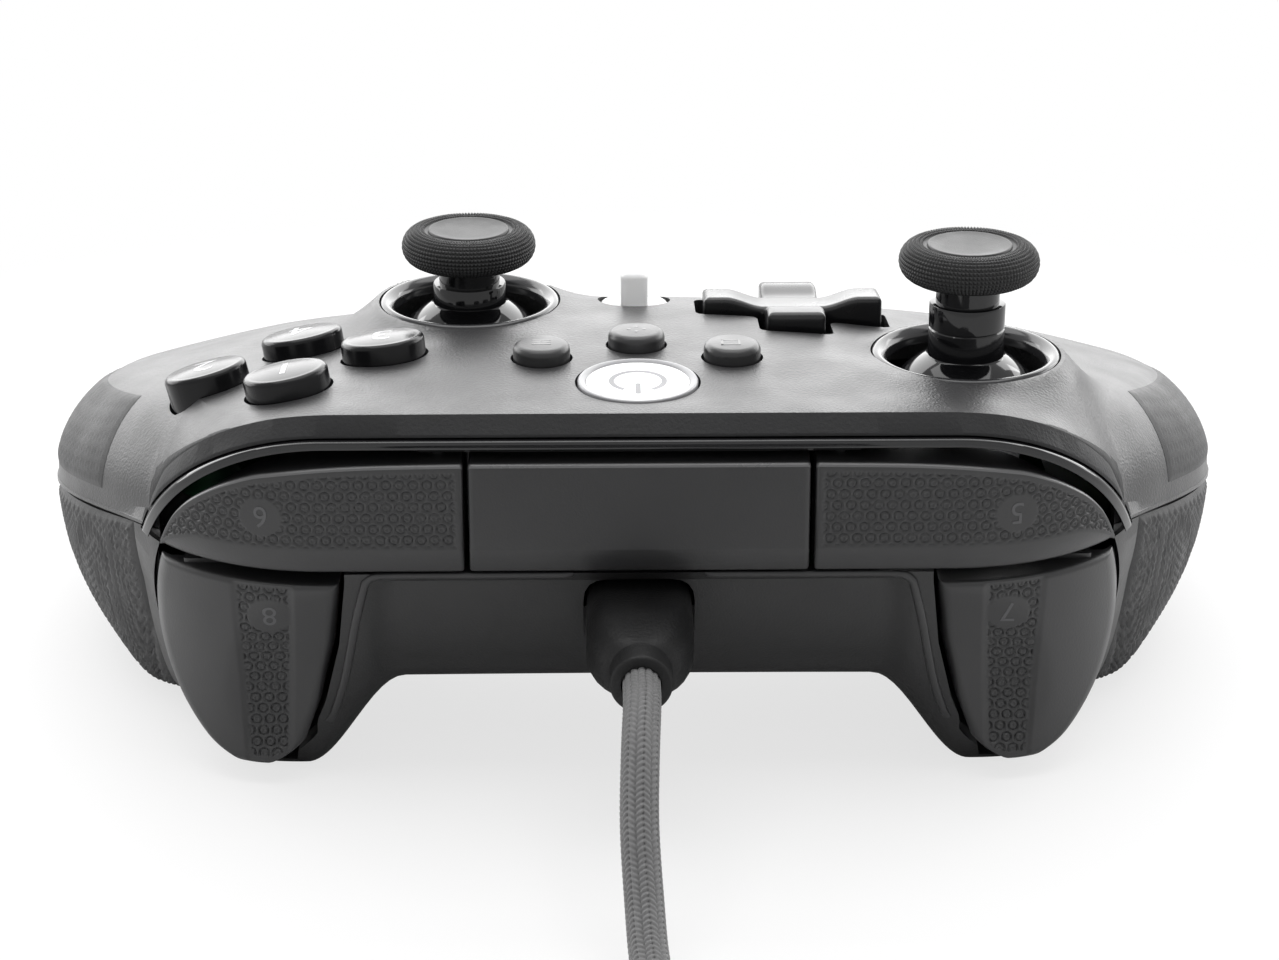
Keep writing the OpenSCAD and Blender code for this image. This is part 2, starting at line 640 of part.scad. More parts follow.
module stick_base(p) {
    color(steel) at_stick(p) base_shape(pivot_z, board_z + board_t, base_w);
}

// Buttons slide square to the face
module face_button(n) {
    r = face_button_dia/2;
    color(gloss) on_face(button_at(n)) rotate_extrude($fn = 64) polygon(concat(
        [[0, -6], [r + 0.7, -6], [r + 0.7, -5], [r, -5]],
        [for (j = [0:4]) let (a = 90*j/4)
            [r - 1.1 + 1.1*cos(a), face_button_proud - 1.5 + 1.1*sin(a)]],
        [[r*0.5, face_button_proud + 0.05], [0, face_button_proud + 0.25]]));
}
module small_button(p) {
    r = small_button_dia/2;
    color(plastic) on_face(p) rotate_extrude($fn = 48) polygon([[0, -10.4], [2.2, -10.4], [2.2, -5.2],
        [r + 0.8, -5.2], [r + 0.8, -4.2], [r, -4.2], [r, 1.3], [r - 0.25, 1.75], [r - 0.8, 2], [0, 2.1]]);
}
home_face = home_dia/2 - 1.2;
module home_button() {
    color(pale) on_face(home_at) rotate_extrude($fn = 72) polygon([[0, -10.4], [2.2, -10.4], [2.2, -5.2],
        [home_dia/2 + 0.8, -5.2], [home_dia/2 + 0.8, -4.2], [home_face, -4.2], [home_face, 0.1], [0, 0.1]]);
}
module home_ring() {
    color([0.75, 0.75, 0.77]) on_face(home_at) rotate_extrude($fn = 72) polygon([[home_face, -4.2],
        [home_dia/2, -4.2], [home_dia/2, 0.35], [home_dia/2 - 0.3, 0.6], [home_face + 0.5, 0.5], [home_face, 0.15]]);
}

// Cross pad on a two-way pivot
pad_pivot = 38.6;
pad_top = 50.3;
pad_dish = 28;
pad_low = 47.9;
pad_skirt = 18;
module cross_pad() {
    color(gloss) translate([pad_at[0], at(pad_at[1]), 0]) {
        difference() {
            union() {
                for (a = [0, 90]) rotate(a) translate([-pad_span/2, -pad_arm/2, pad_pivot + 2.6])
                    cube([pad_span, pad_arm, pad_top - pad_pivot - 2.6]);
                translate([0, 0, pad_pivot + 2.5]) cylinder(h = 0.7, d = pad_skirt);
            }
            translate([0, 0, pad_low + pad_dish]) sphere(pad_dish, $fn = 120);
        }
        translate([0, 0, pad_pivot - 1.4]) cylinder(h = 5, r = stem_r);
        translate([0, 0, pad_pivot]) rotate([90, 0, 0]) cylinder(h = yoke_w - 1.6, d = 1.8, center = true);
    }
}
module pad_yoke() {
    color(pale) translate([pad_at[0], at(pad_at[1]), 0]) yoke_shape(pad_pivot);
}

// Volume dial: a disc with an upright bar, on a rotor in an encoder
dial_z = face_at(dial_at[0], dial_at[1]);
rotor_top = dial_z - 3;
module volume_dial() {
    color(pale) translate([0, at(dial_at[1]), 0]) difference() {
        union() {
            translate([0, 0, dial_z - 6]) cylinder(h = 5.6, d = dial_dia);
            translate([-1.8, -dial_dia/2 + 0.5, dial_z - 1]) cube([3.6, dial_dia - 1, dial_bar_h + 0.6]);
        }
        translate([0, 0, dial_z - 10]) cylinder(h = 7.4 + 0.4, d = 3.4);
    }
}
module dial_rotor() {
    color(steel) translate([0, at(dial_at[1]), 0]) {
        translate([0, 0, 37]) cylinder(h = rotor_top - 37, d = 3);
    }
}
module encoder() {
    color(plastic) translate([0, at(dial_at[1]), board_z + board_t]) difference() {
        translate([-5.5, -5.5, 0]) cube([11, 11, 7]);
        translate([0, 0, 4.8]) cylinder(h = 10, d = 3.4);
    }
}

// Boards and sockets
module switch_at(p, top) {
    translate([p[0] - 2.4, at(p[1]) - 2.4, board_z + board_t - 0.2])
        cube([4.8, 4.8, top - board_z - board_t - 0.8]);
    tube_z(p, 3, board_z, top);
}
module button_board() {
    color(board_green) union() {
        translate([-board_w/2, at(board_front), board_z]) cube([board_w, board_rear - board_front, board_t]);
        translate([-panel_w + 2, at(11.8), board_z]) cube([2*panel_w - 4, 6.4, board_t]);
        for (n = [1:4]) let (p = button_at(n)) if (p[1] > board_front + 4)
            translate([p[0], at(p[1]), board_z + 0.4]) cylinder(h = 3.6, r1 = 4.5, r2 = 2.6);
        for (p = [menu_at, view_at, share_at]) switch_at(p, 36.6);
        switch_at(home_at, 36.6);
        for (s = [-1, 1])
            translate([pad_at[0] + s*(base_w/2 - 0.4) - 0.4, at(pad_at[1]) - 2.5, board_z]) difference() {
                cube([0.8, 5, pad_pivot + 1.6 - board_z]);
                translate([-1, 2.5, pad_pivot - board_z]) rotate([0, 90, 0])
                    cylinder(h = 4, d = 1.8 + 2*pin_gap);
            }
    }
}
module main_board() {
    color(board_green) translate([-main_w/2, at(main_front), main_z])
        cube([main_w, main_rear - main_front, board_t]);
}
socket_w = 9.8;
socket_h = 3.4;
socket_l = 8;
socket_wall = 0.35;
module cord_socket() {
    color(steel) translate([-socket_w/2, at(5.4), main_z + board_t]) difference() {
        cube([socket_w, socket_l, socket_h]);
        translate([socket_wall, -1, socket_wall])
            cube([socket_w - 2*socket_wall, socket_l, socket_h - 2*socket_wall]);
    }
}
module headset_jack() {
    color(plastic) translate([0, at(rear_d - 15), jack_z]) difference() {
        union() {
            translate([-3.5, 0, -3]) cube([7, 12, 5.8]);
            rotate([-90, 0, 0]) cylinder(h = 15, d = 5.8);
        }
        translate([0, 1.5, 0]) rotate([-90, 0, 0]) cylinder(h = 14, d = jack_bore);
        translate([-10, 0, -5]) cube([20, 20, 2 - eps]);
    }
}

// Rumble motors in the grips, each with an eccentric weight
module motor(s) {
    color(steel) translate([s*motor_at[0], at(motor_at[1]), motor_z]) rotate([-90, 0, 0]) difference() {
        union() {
            cylinder(h = motor_l, d = motor_dia);
            cylinder(h = motor_l + 1, d = 5);
        }
        translate([0, 0, motor_l - 6]) cylinder(h = 10, d = 2.4);
    }
}
module weight(s) {
    color(steel) translate([s*motor_at[0], at(motor_at[1]), motor_z]) rotate([-90, 0, 0]) {
        translate([0, 0, motor_l - 5]) cylinder(h = 12, d = 2);
        translate([0, 0, motor_l + 1.6]) intersection() {
            cylinder(h = 5.4, r = weight_r);
            translate([-20, -1.6, 0]) cube([40, 20, 10]);
        }
    }
}

module screw(n) {
    s = n % 2 == 0 ? 1 : -1;
    p = n < 3 ? front_screw : grip_screw;
    head_z = n < 3 ? 17 : 4;
    color(steel) translate([s*p[0], at(p[1]), head_z]) {
        translate([0, 0, -1.8]) cylinder(h = 1.8, d = 4.8);
        cylinder(h = n < 3 ? 20 : 14, d = screw_dia);
    }
}

// Plug, free cord and the rest of the cord as a coil
plug_front = -12;
nose_front = -16;
nose_dia = 7.4;
module cord_plug() {
    color(plastic) difference() {
        union() {
            push_back(plug_front + 3, 5) translate([0, plug_z]) square([plug_w, 10], center = true);
            hull() {
                push_back(plug_front + 2.9, plug_front + 3) translate([0, plug_z]) square([plug_w, 10], center = true);
                push_back(plug_front, plug_front + 0.1) translate([0, plug_z]) circle(d = nose_dia + 0.4);
            }
            push_back(nose_front, plug_front + 0.5) translate([0, plug_z]) circle(d = nose_dia);
            push_back(4, 11.4) translate([0, plug_z]) square([8.2, 2.3], center = true);
        }
        push_back(nose_front - 1, nose_front + 3) translate([0, plug_z]) circle(d = cord_dia + 0.3);
    }
}

// Tube round a path of points, with flat ends
function along(path, i) = let (a = path[max(0, i - 1)], b = path[min(len(path) - 1, i + 1)]) (b - a)/norm(b - a);
function tube_ring(p, t, r, n) = let (
    u = norm(cross(t, [0, 0, 1])) > 0.05 ? cross(t, [0, 0, 1])/norm(cross(t, [0, 0, 1])) : [1, 0, 0],
    v = cross(t, u)
) [for (j = [0:n - 1]) p + u*r*cos(360*j/n) + v*r*sin(360*j/n)];
module tube(path, r, n) {
    skin([for (i = [0:len(path) - 1]) tube_ring(path[i], along(path, i), r, n)]);
}
function spline(p, m) = concat([for (i = [1:len(p) - 3]) for (j = [0:m - 1]) let (t = j/m)
    0.5*(2*p[i] + (p[i + 1] - p[i - 1])*t + (2*p[i - 1] - 5*p[i] + 4*p[i + 1] - p[i + 2])*t*t
    + (3*p[i] - p[i - 1] - 3*p[i + 1] + p[i + 2])*t*t*t)], [p[len(p) - 2]]);

cord_r = cord_dia/2;
coil_pitch = cord_dia + 1.3;
coil_rise = cord_dia + 0.6;
coil_out = coil_r + coil_turns*coil_pitch;
coil_center = [0, -134];
coil_sweep = 4*coil_turns + 1.5;
coil_sides = 6;
coil_rings = 24;
// Radius and height of the coil after so many turns: in, out, in, out, with a half turn between
function coil_leg(t) = min(3, floor(t/(coil_turns + 0.5)));
function coil_rad(t) = let (i = coil_leg(t), q = min(coil_turns, t - i*(coil_turns + 0.5)))
    i % 2 == 0 ? coil_out - q*coil_pitch : coil_r + q*coil_pitch;
function coil_high(t) = let (i = coil_leg(t), q = max(0, t - i*(coil_turns + 0.5) - coil_turns)/0.5)
    cord_r + coil_rise*(i + soft(q));
function coil_point(t) = [coil_center[0] + coil_rad(t)*cos(360*t), at(coil_center[1]) - coil_rad(t)*sin(360*t),
    coil_high(t)];
coil_start = coil_point(0);
coil_n = ceil(coil_sweep*coil_rings);
coil_path = concat([coil_start + [0, 2*cord_dia, 0], coil_start + [0, cord_dia, 0]],
    [for (i = [0:coil_n]) coil_point(coil_sweep*i/coil_n)]);
coil_end = coil_path[len(coil_path) - 1];
coil_last = along(coil_path, len(coil_path) - 1);
tail_path = [for (q = [1:8]) coil_end + [coil_last[0], coil_last[1], 0]*q*5
    - [0, 0, (coil_end[2] - cord_r - 3.2)*soft((q - 2)/6)]];
full_coil = concat(coil_path, tail_path);
// Least gap of the coil to itself, between points more than half a turn apart
function self_gap(p, apart) = min([for (i = [0:len(p) - apart - 1], j = [i + apart:len(p) - 1])
    norm(p[j] - p[i])]) - cord_dia;
echo(least_coil_gap = self_gap(full_coil, coil_rings/2 + 1));  // cord_coil

cord_knots = [[0, at(nose_front + 10), plug_z], [0, at(nose_front + 2.8), plug_z],
    [0, at(nose_front - 5), plug_z], [-0.3, at(nose_front - 12), plug_z - 2.6],
    [-0.5, at(nose_front - 19), plug_z - 8], [-0.1, at(nose_front - 26), plug_z - 13.6],
    [0.5, at(nose_front - 34), plug_z - 17.6], [2, at(nose_front - 44), cord_r + 0.4],
    [7, at(nose_front - 56), cord_r],
    [16, at(nose_front - 67), cord_r], [26, at(nose_front - 77), cord_r], [33.5, at(nose_front - 89), cord_r],
    coil_start + [0, 2*cord_dia + 8, 0], coil_start + [0, 2*cord_dia, 0], coil_start];
cord_path = spline(cord_knots, 3);
module cord() {
    color(rubber) tube(cord_path, cord_r, 10);
}
module cord_coil() {
    color(rubber) tube(full_coil, cord_r, coil_sides);
}
module cord_tie() {
    tie_r = (coil_out - coil_r)/2 + cord_r + 0.8;
    tie_h = 3*coil_rise + cord_dia + 1.6;
    mid = (coil_out + coil_r)/2;
    color(rubber) translate([coil_center[0], at(coil_center[1]), 0]) rotate(150) translate([mid, 0, 0]) difference() {
        translate([-tie_r - 1, -4, -1]) cube([2*tie_r + 2, 8, tie_h + 1.4]);
        translate([-tie_r, -5, -0.2]) cube([2*tie_r, 10, tie_h - 0.6]);
        translate([-50, -50, -10]) cube([100, 100, 10]);
    }
}
far_at = full_coil[len(full_coil) - 1];
far_turn = atan2(coil_last[1], coil_last[0]);
module far_plug() {
    color(plastic) translate([far_at[0], far_at[1], far_at[2]]) rotate(far_turn) {
        translate([0, -6.5, -far_at[2]]) cube([24, 13, far_at[2] + 5]);
        translate([23, -6, -2.25]) cube([13, 12, 4.5]);
    }
}

top_shell();
bottom_shell();
grip(1);  // left_grip
grip(-1);  // right_grip
front_frame();
center_panel();
bumper(1);  // left_bumper
bumper(-1);  // right_bumper
trigger(1);  // left_trigger
trigger(-1);  // right_trigger
trigger_pin(1);  // left_trigger_pin
trigger_pin(-1);  // right_trigger_pin
stick_ring(left_stick);  // left_ring
stick_cap(left_stick, tall_stick_z);  // left_cap
stick_neck(left_stick, tall_stick_z);  // left_neck
stick_stem(left_stick);  // left_stem
stick_yoke(left_stick);  // left_yoke
stick_base(left_stick);  // left_base
stick_ring(right_stick);  // right_ring
stick_cap(right_stick, short_stick_z);  // right_cap
stick_neck(right_stick, short_stick_z);  // right_neck
stick_stem(right_stick);  // right_stem
stick_yoke(right_stick);  // right_yoke
stick_base(right_stick);  // right_base
face_button(1);  // face_button_1
face_button(2);  // face_button_2
face_button(3);  // face_button_3
face_button(4);  // face_button_4
small_button(menu_at);  // menu_button
small_button(view_at);  // view_button
small_button(share_at);  // share_button
home_button();
home_ring();
cross_pad();
pad_yoke();
volume_dial();
dial_rotor();
encoder();
button_board();
main_board();
cord_socket();
headset_jack();
motor(1);  // left_motor
motor(-1);  // right_motor
weight(1);  // left_weight
weight(-1);  // right_weight
screw(1);  // screw_1
screw(2);  // screw_2
screw(3);  // screw_3
screw(4);  // screw_4
cord_plug();
cord();
cord_coil();
cord_tie();
far_plug();
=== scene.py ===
"""Wired gamepad: looks for the jointed model, in metres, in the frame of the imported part."""
import bpy
import bmesh
from math import radians, pi, sin, cos, sqrt, atan, atan2, asin, floor, ceil, hypot
import numpy as np
from mathutils import Matrix


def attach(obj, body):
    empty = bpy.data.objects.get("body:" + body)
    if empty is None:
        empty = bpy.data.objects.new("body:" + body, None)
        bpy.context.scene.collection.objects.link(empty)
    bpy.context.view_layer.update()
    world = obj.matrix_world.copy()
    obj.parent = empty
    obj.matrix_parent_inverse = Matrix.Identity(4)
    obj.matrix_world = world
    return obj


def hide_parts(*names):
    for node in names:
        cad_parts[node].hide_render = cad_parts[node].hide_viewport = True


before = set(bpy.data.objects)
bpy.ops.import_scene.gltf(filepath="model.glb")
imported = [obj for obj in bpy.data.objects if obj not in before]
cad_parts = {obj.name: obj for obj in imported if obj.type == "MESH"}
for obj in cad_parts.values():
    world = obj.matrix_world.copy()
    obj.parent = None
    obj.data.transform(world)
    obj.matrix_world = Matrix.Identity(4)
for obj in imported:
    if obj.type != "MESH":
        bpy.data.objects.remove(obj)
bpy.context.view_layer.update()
scene = bpy.context.scene
scene.view_settings.view_transform = "Standard"
MM = 0.001

# Camera of the photograph
camera = bpy.data.objects.new("camera", bpy.data.cameras.new("camera"))
camera.data.sensor_fit = "HORIZONTAL"
camera.data.sensor_width = 36
camera.data.lens = 88.78
camera.location = (-0.00503, -0.4006, 0.17667)
camera.rotation_euler = (radians(68.7), 0, radians(-0.83))
scene.collection.objects.link(camera)
scene.camera = camera

# Sizes of the part in millimetres; d is the depth behind the front face
BODY_D, FACE_Z, FACE_BOW, FRONT_BOW, CROWN_D, WALL = 107.0, 48.9, 238.0, 320.0, 24.0, 2.4
SEAM_Z, SEAM_FALL, SEAM_GAP, BELLY_Z, GRIP_T = 32.5, 0.19, 0.15, 11.5, 1.2
FRONT_FLAT, CORNER_R, CORNER_Z, ARCH_R, LIP_D = 37.5, 28.0, 20.6, 26.0, 1.5
BEVEL_W, BEVEL_H, EDGE_LIFT, COLLAR_R, COLLAR_W = 1.7, 2.0, 0.45, 12.4, 8.0
BUMPER_Z, BUMPER_TOP, BUMPER_D, BUMPER_END = 29.2, 43.5, 7.2, 58.4
TRIGGER_R, TRIGGER_TOP, TRIGGER_LOW, TRIGGER_HOLLOW = 22.2, 27.6, 2.8, 30.0
TRIGGER_BACK, FOOT_R, WELL_GAP, WELL_FLOOR = 10.9, 2.6, 0.6, 0.9
PIN_X, PIN_D, PIN_Z = 46.5, 13.0, 30.2
RIM_R = TRIGGER_R + 2.4
RING_DIA, RING_BORE, RING_TOP, RING_H = 23.6, 19.8, 48.4, 2.0
CAP_DIA, CAP_H, NECK_DIA, DOME_R, DOME_WALL, PIVOT_Z = 17.6, 5.0, 9.5, 10.8, 1.1, 38.3
LEFT_TOP, RIGHT_TOP, NECK_COLLAR = 62.6, 58.2, (51.6, 54.9)
FACE_DIA, FACE_PROUD, SMALL_DIA, HOME_DIA, BUTTON_GAP = 10.5, 2.5, 7.1, 14.7, 0.3
PAD_SPAN, PAD_ARM, PAD_PIVOT, DIAL_DIA, DIAL_BAR_H = 23.2, 7.5, 38.6, 9.0, 4.7
CORD_DIA, PLUG_Z, PLUG_W, NOSE = 4.5, 22.0, 12.9, -16.0
JACK_R, JACK_D, JACK_Z = 3.2, 56.5, 23.3
LEFT_STICK, RIGHT_STICK, PAD_AT, DIAL_AT, HOME_AT = (41.2, 26), (-21.6, 48), (20.6, 46.8), (0, 51), (0, 13.9)
MENU_AT, VIEW_AT, SHARE_AT = (-11.8, 22.5), (11.8, 22.5), (0, 27.5)
BUTTON_AT = {1: (-42.5, 15), 2: (-53.5, 26), 3: (-31.5, 26), 4: (-42.5, 37)}
HANDS = ((1, "left"), (-1, "right"))
# Places along the outline, from the middle of the front to the tip of the handle
K_FRONT, K_SIDE, K_WIDE, K_TIP, K_GRIP, K_GRIP_END = 4, 10, 15, 24, 10.6, 20


def at(d):
    return d - BODY_D/2


def mix(a, b, t):
    return a + (b - a)*t


def soft(t):
    c = np.clip(t, 0, 1)
    return c*c*(3 - 2*c)


def bez(p, t):
    p = np.array(p, float)
    return p[0]*(1 - t)**3 + p[1]*3*t*(1 - t)**2 + p[2]*3*t*t*(1 - t) + p[3]*t**3


def ramp(v, w):
    return (np.sqrt(v*v + w*w) + v)/2


def unit(v):
    return v/np.linalg.norm(v)


def around(n):
    """Angles of n points round a circle."""
    return np.arange(n)*2*pi/n


def runs(*spans):
    """Even steps over spans of (from, to, count), each but the last without its end."""
    return np.concatenate([np.linspace(*q, endpoint=False) for q in spans[:-1]] + [np.linspace(*spans[-1])])


def spot(x, d, z):
    """Points from x, depth and height."""
    return np.stack(np.broadcast_arrays(x, at(d), z), -1)


def level(outline, z):
    """Points from an outline of (x, y) and its height."""
    return np.column_stack([outline, np.broadcast_to(z, len(outline))])


def two_sided(right):
    """Outline that goes on with its own mirror image."""
    return np.concatenate([right, right[::-1]*np.array([-1, 1])])


def rim_at(x):
    """Height of the arch rim in the top shell."""
    t = np.maximum(0, np.abs(x) - FRONT_FLAT)
    return np.where(t < ARCH_R, CORNER_Z + np.sqrt(np.maximum(0, ARCH_R**2 - t*t)), 0)


def face_at(x, d):
    """The face: flat across the front, evenly bowed behind."""
    b = soft((d - 3)/42)
    along = (d - CROWN_D)**2/(2*np.where(d < CROWN_D, FRONT_BOW, FACE_BOW)) + 0.1*ramp(d - 52, 6)
    return FACE_Z - along - np.maximum(0, np.abs(x) - 37*(1 - b))**2/(2*mix(30, FACE_BOW, b))


def flared_face(x, d):
    """The face with a crisp front edge and the collars that rise to the stick rings."""
    z = face_at(x, d) + EDGE_LIFT*soft((11 - d)/9)
    for p in (LEFT_STICK, RIGHT_STICK):
        w = np.clip(1 - (np.hypot(x - p[0], d - p[1]) - COLLAR_R)/COLLAR_W, 0, 1)**2.3
        z = z + np.maximum(0, RING_TOP - 0.25 - z)*w
    return z


def seam_at(d):
    return SEAM_Z - SEAM_FALL*d


def floor_at(x, d):
    """The underside: belly, grips, and a rim that follows the triggers at the front."""
    s = soft((np.abs(x) - 29)/12.5)
    b = (BELLY_Z + 0.6)*(1 - s) - 0.6 + 2.4*np.exp(-((d - 44)/20)**2)*s
    t = np.minimum(RIM_R, np.maximum(0, np.abs(x) - FRONT_FLAT))
    return b + ramp(CORNER_Z - np.sqrt(RIM_R**2 - t*t) - b, 1)*soft((32 - d)/18)


CORNER_TURN = 60
REAR_FRONT, REAR_SIDE = 0.45, 0.8


def corner_pt(turn):
    """Plan point on the front corner, turn in degrees along its arc."""
    a, r = radians(turn), CORNER_R - LIP_D
    return np.array([FRONT_FLAT + r*sin(a), CORNER_R - r*cos(a)])


c_end = corner_pt(CORNER_TURN)
SIDE_PATH = [c_end, c_end + 16*np.array([0.5, sin(radians(CORNER_TURN))]), (78, 38), (78, 56)]
GRIP_PATH = [(78, 56), (78, 78), (74, 107), (63, 107)]
REAR_PATH = [(0, 64.5), (16, 64.5), (29.2, 65), (38, 78)]
FORK_PATH = [(38, 78), (43.7, 86.2), (48, 107), (57, 107)]


def outer_pt(k):
    if k <= K_FRONT:
        return np.array([FRONT_FLAT*k/K_FRONT, LIP_D])
    if k <= K_SIDE:
        return corner_pt(CORNER_TURN*(k - K_FRONT)/(K_SIDE - K_FRONT))
    if k <= K_WIDE:
        return bez(SIDE_PATH, (k - K_SIDE)/(K_WIDE - K_SIDE))
    return bez(GRIP_PATH, sin(pi/2*(k - K_WIDE)/(K_TIP - K_WIDE)))


def inner_pt(k):
    if k <= K_WIDE:
        share = np.interp(k, (0, K_FRONT, K_SIDE, K_WIDE), (0, REAR_FRONT, REAR_SIDE, 1))
        return bez(REAR_PATH, share)
    return bez(FORK_PATH, sin(pi/2*(k - K_WIDE)/(K_TIP - K_WIDE)))


def section(k):
    """Outer point, direction inwards, span and height share of a section."""
    o, i = outer_pt(k), inner_pt(k)
    span = float(np.hypot(*(i - o)))
    return o, (i - o)/span, span, 1 - (1 - min(1, span/24))**1.6


def top_section(k, off, face, n_roll, n_mid):
    """Section of the top shell from the seam over the face, set in by off."""
    o, u, span, cap = section(k)
    size = span - 2*off
    ro = min(mix(5, 12, float(soft((k - 6)/5))), size*0.45)
    ri = min(mix(11, 12, float(soft(k/10))), size*0.45)
    fade = float(soft((K_SIDE + 1.2 - k)/2))
    e = o + u*off
    z0 = seam_at(e[1])
    top = z0 + (float(face(e[0], e[1])) - z0)*cap
    rim = max(float(rim_at(o[0])) if k <= K_SIDE else 0, z0 + 0.5)
    land = mix(z0 + min(0.5, (top - z0)*0.2), min(rim, top - BEVEL_H), fade) - off*fade
    w = min(mix(0.3, BEVEL_W, fade), ro*0.4)
    edge = land + mix(min(0.8, (top - z0)*0.3), BEVEL_H, fade)

    def points(s, f):
        s, f = np.asarray(s, float), np.asarray(f, float)
        x, d = o[0] + u[0]*(off + s), o[1] + u[1]*(off + s)
        z = seam_at(d) + np.maximum(0, (face(x, d) - seam_at(d))*cap - off)*f
        return spot(x, d, z)

    a = np.linspace(0, pi/2, n_roll, endpoint=False)
    roll = points(w + (ro - w)*(1 - np.cos(a)), np.ones(n_roll))
    roll[:, 2] = edge + np.maximum(0, roll[:, 2] - edge)*mix(np.sin(a), 1 - np.cos(a), 0.5*fade)
    lip = np.array([[e[0], at(e[1]), z0], [e[0], at(e[1]), land - 0.25*fade],
                    [e[0] + u[0]*0.08, at(e[1] + u[1]*0.08), land]])
    mid = points(np.linspace(ro, size - ri, n_mid + 1), np.ones(n_mid + 1))
    b = a[::-1]
    return np.concatenate([lip, roll, mid, points(size - ri*(1 - np.cos(b)), np.sin(b))])


def low_section(k, off, cut, n_roll, steps):
    """Section of the bottom shell from the seam round below, set in by off."""
    o, u, span, cap = section(k)
    size = span - 2*off
    ro = mix(mix(10, 6, float(soft((k - 4)/4))), 13, float(soft((k - 9)/6)))
    ro = min(ro, size*0.45)
    ri = min(mix(14, 12, float(soft(k/10))), size*0.45)
    a = np.linspace(0, pi/2, n_roll, endpoint=False)
    roll = ro*(1 - np.cos(a)), (size - ri*(1 - np.cos(a)))[::-1]
    s = np.concatenate([roll[0], mix(ro, size - ri, np.asarray(steps)), roll[1]])
    f = np.concatenate([np.sin(a), np.ones(len(steps)), np.sin(a)[::-1]])
    x, d = o[0] + u[0]*(off + s), o[1] + u[1]*(off + s)
    z0 = seam_at(d) - cut
    z = z0 - np.maximum(0, (z0 - floor_at(x, d))*cap - off)*f
    return spot(x, d, z)


# Mesh helpers: a solid is a pair of points and faces
MIRROR = np.array([-1, 1, 1])
BACKWARDS = np.array(Matrix.Rotation(-pi/2, 4, "X"))
def grid_faces(m, n, wrap=False):
    i = np.arange(m - 1)[:, None]*n
    j = np.arange(n if wrap else n - 1)[None, :]
    k = (j + 1) % n
    return np.stack([i + j, i + n + j, i + n + k, i + k], -1).reshape(-1, 4).tolist()


def loft(rings):
    """Closed skin through closed rings, with flat ends."""
    rings = np.asarray(rings, float)
    m, n, _ = rings.shape
    faces = grid_faces(m, n, True)
    faces.append(list(range(n)))
    faces.append(list(range((m - 1)*n, m*n))[::-1])
    return rings.reshape(-1, 3), faces


def both_ways(half):
    """Rings of one half and their mirror images, as one row."""
    half = [np.asarray(r, float) for r in half]
    return [r*MIRROR for r in half[:0:-1]] + half


def sheet_solid(front, back):
    """Closed solid between two grids of the same size."""
    m, n, _ = front.shape
    faces = grid_faces(m, n)
    q = m*n
    faces += [[q + v for v in f[::-1]] for f in grid_faces(m, n)]
    edge = [j for j in range(n)] + [i*n + n - 1 for i in range(1, m)]
    edge += [(m - 1)*n + j for j in range(n - 2, -1, -1)] + [i*n for i in range(m - 2, 0, -1)]
    for a, b in zip(edge, edge[1:] + edge[:1]):
        faces.append([a, b, q + b, q + a])
    return np.concatenate([front.reshape(-1, 3), back.reshape(-1, 3)]), faces


def spun(p, n, ripple=None):
    """Points of a profile of (r, z) turned about z; ripple(angle, row) moves them."""
    a = around(n)
    r, z = p[:, :1], p[:, 1:]
    if ripple is not None:
        dr, dz = ripple(a[None, :], np.arange(1, len(p) + 1)[:, None])
        r, z = r + dr, z + dz
    return np.stack(np.broadcast_arrays(r*np.cos(a), r*np.sin(a), z), -1).reshape(-1, 3)


def revolve(profile, n, ripple=None):
    """Solid of revolution about z from (r, z) points that start and end on the axis."""
    p = np.asarray(profile, float)
    m = len(p) - 2
    faces = grid_faces(m, n, True)
    for j in range(n):
        k = (j + 1) % n
        faces += [[m*n, j, k], [m*n + 1, (m - 1)*n + k, (m - 1)*n + j]]
    return np.concatenate([spun(p[1:-1], n, ripple), [[0, 0, p[0, 1]], [0, 0, p[-1, 1]]]]), faces


def washer(profile, n):
    """Ring of revolution about z from a closed (r, z) outline."""
    m = len(profile) - 1
    faces = grid_faces(m + 1, n, True)
    faces += [[m*n + j, j, (j + 1) % n, m*n + (j + 1) % n] for j in range(n)]
    return spun(np.asarray(profile, float), n), faces


def cylinder(r, z0, z1, n):
    return revolve([(0, z0), (r, z0), (r, z1), (0, z1)], n)


def prism(outline, a, b, axis="z"):
    """Outline of (x, y) pushed along z, or of (x, z) pushed along the depth."""
    p = np.asarray(outline, float)
    n = len(p)
    v = [level(p, h) if axis == "z" else spot(p[:, 0], h, p[:, 1]) for h in (a, b)]
    sides = [[i, (i + 1) % n, n + (i + 1) % n, n + i] for i in range(n)]
    return np.concatenate(v), [list(range(n)), list(range(n, 2*n))] + sides


def moved(solid, m):
    v = np.asarray(solid[0], float)
    m = np.asarray(m)
    return v @ m[:3, :3].T + m[:3, 3], solid[1]


def shifted(solid, x, y, z):
    return np.asarray(solid[0], float) + np.array([x, y, z]), solid[1]


def stood(solid, p):
    """Solid moved to a place (x, d) of the plan."""
    return shifted(solid, p[0], at(p[1]), 0)


def backwards(solid, d, z):
    """Upright solid laid to point backwards, with its foot at a depth and height."""
    return shifted(moved(solid, BACKWARDS), 0, at(d), z)


def joined(*solids):
    v, f, n = [], [], 0
    for s in solids:
        v.append(np.asarray(s[0], float))
        f += [[n + i for i in q] for q in s[1]]
        n += len(s[0])
    return np.concatenate(v), f


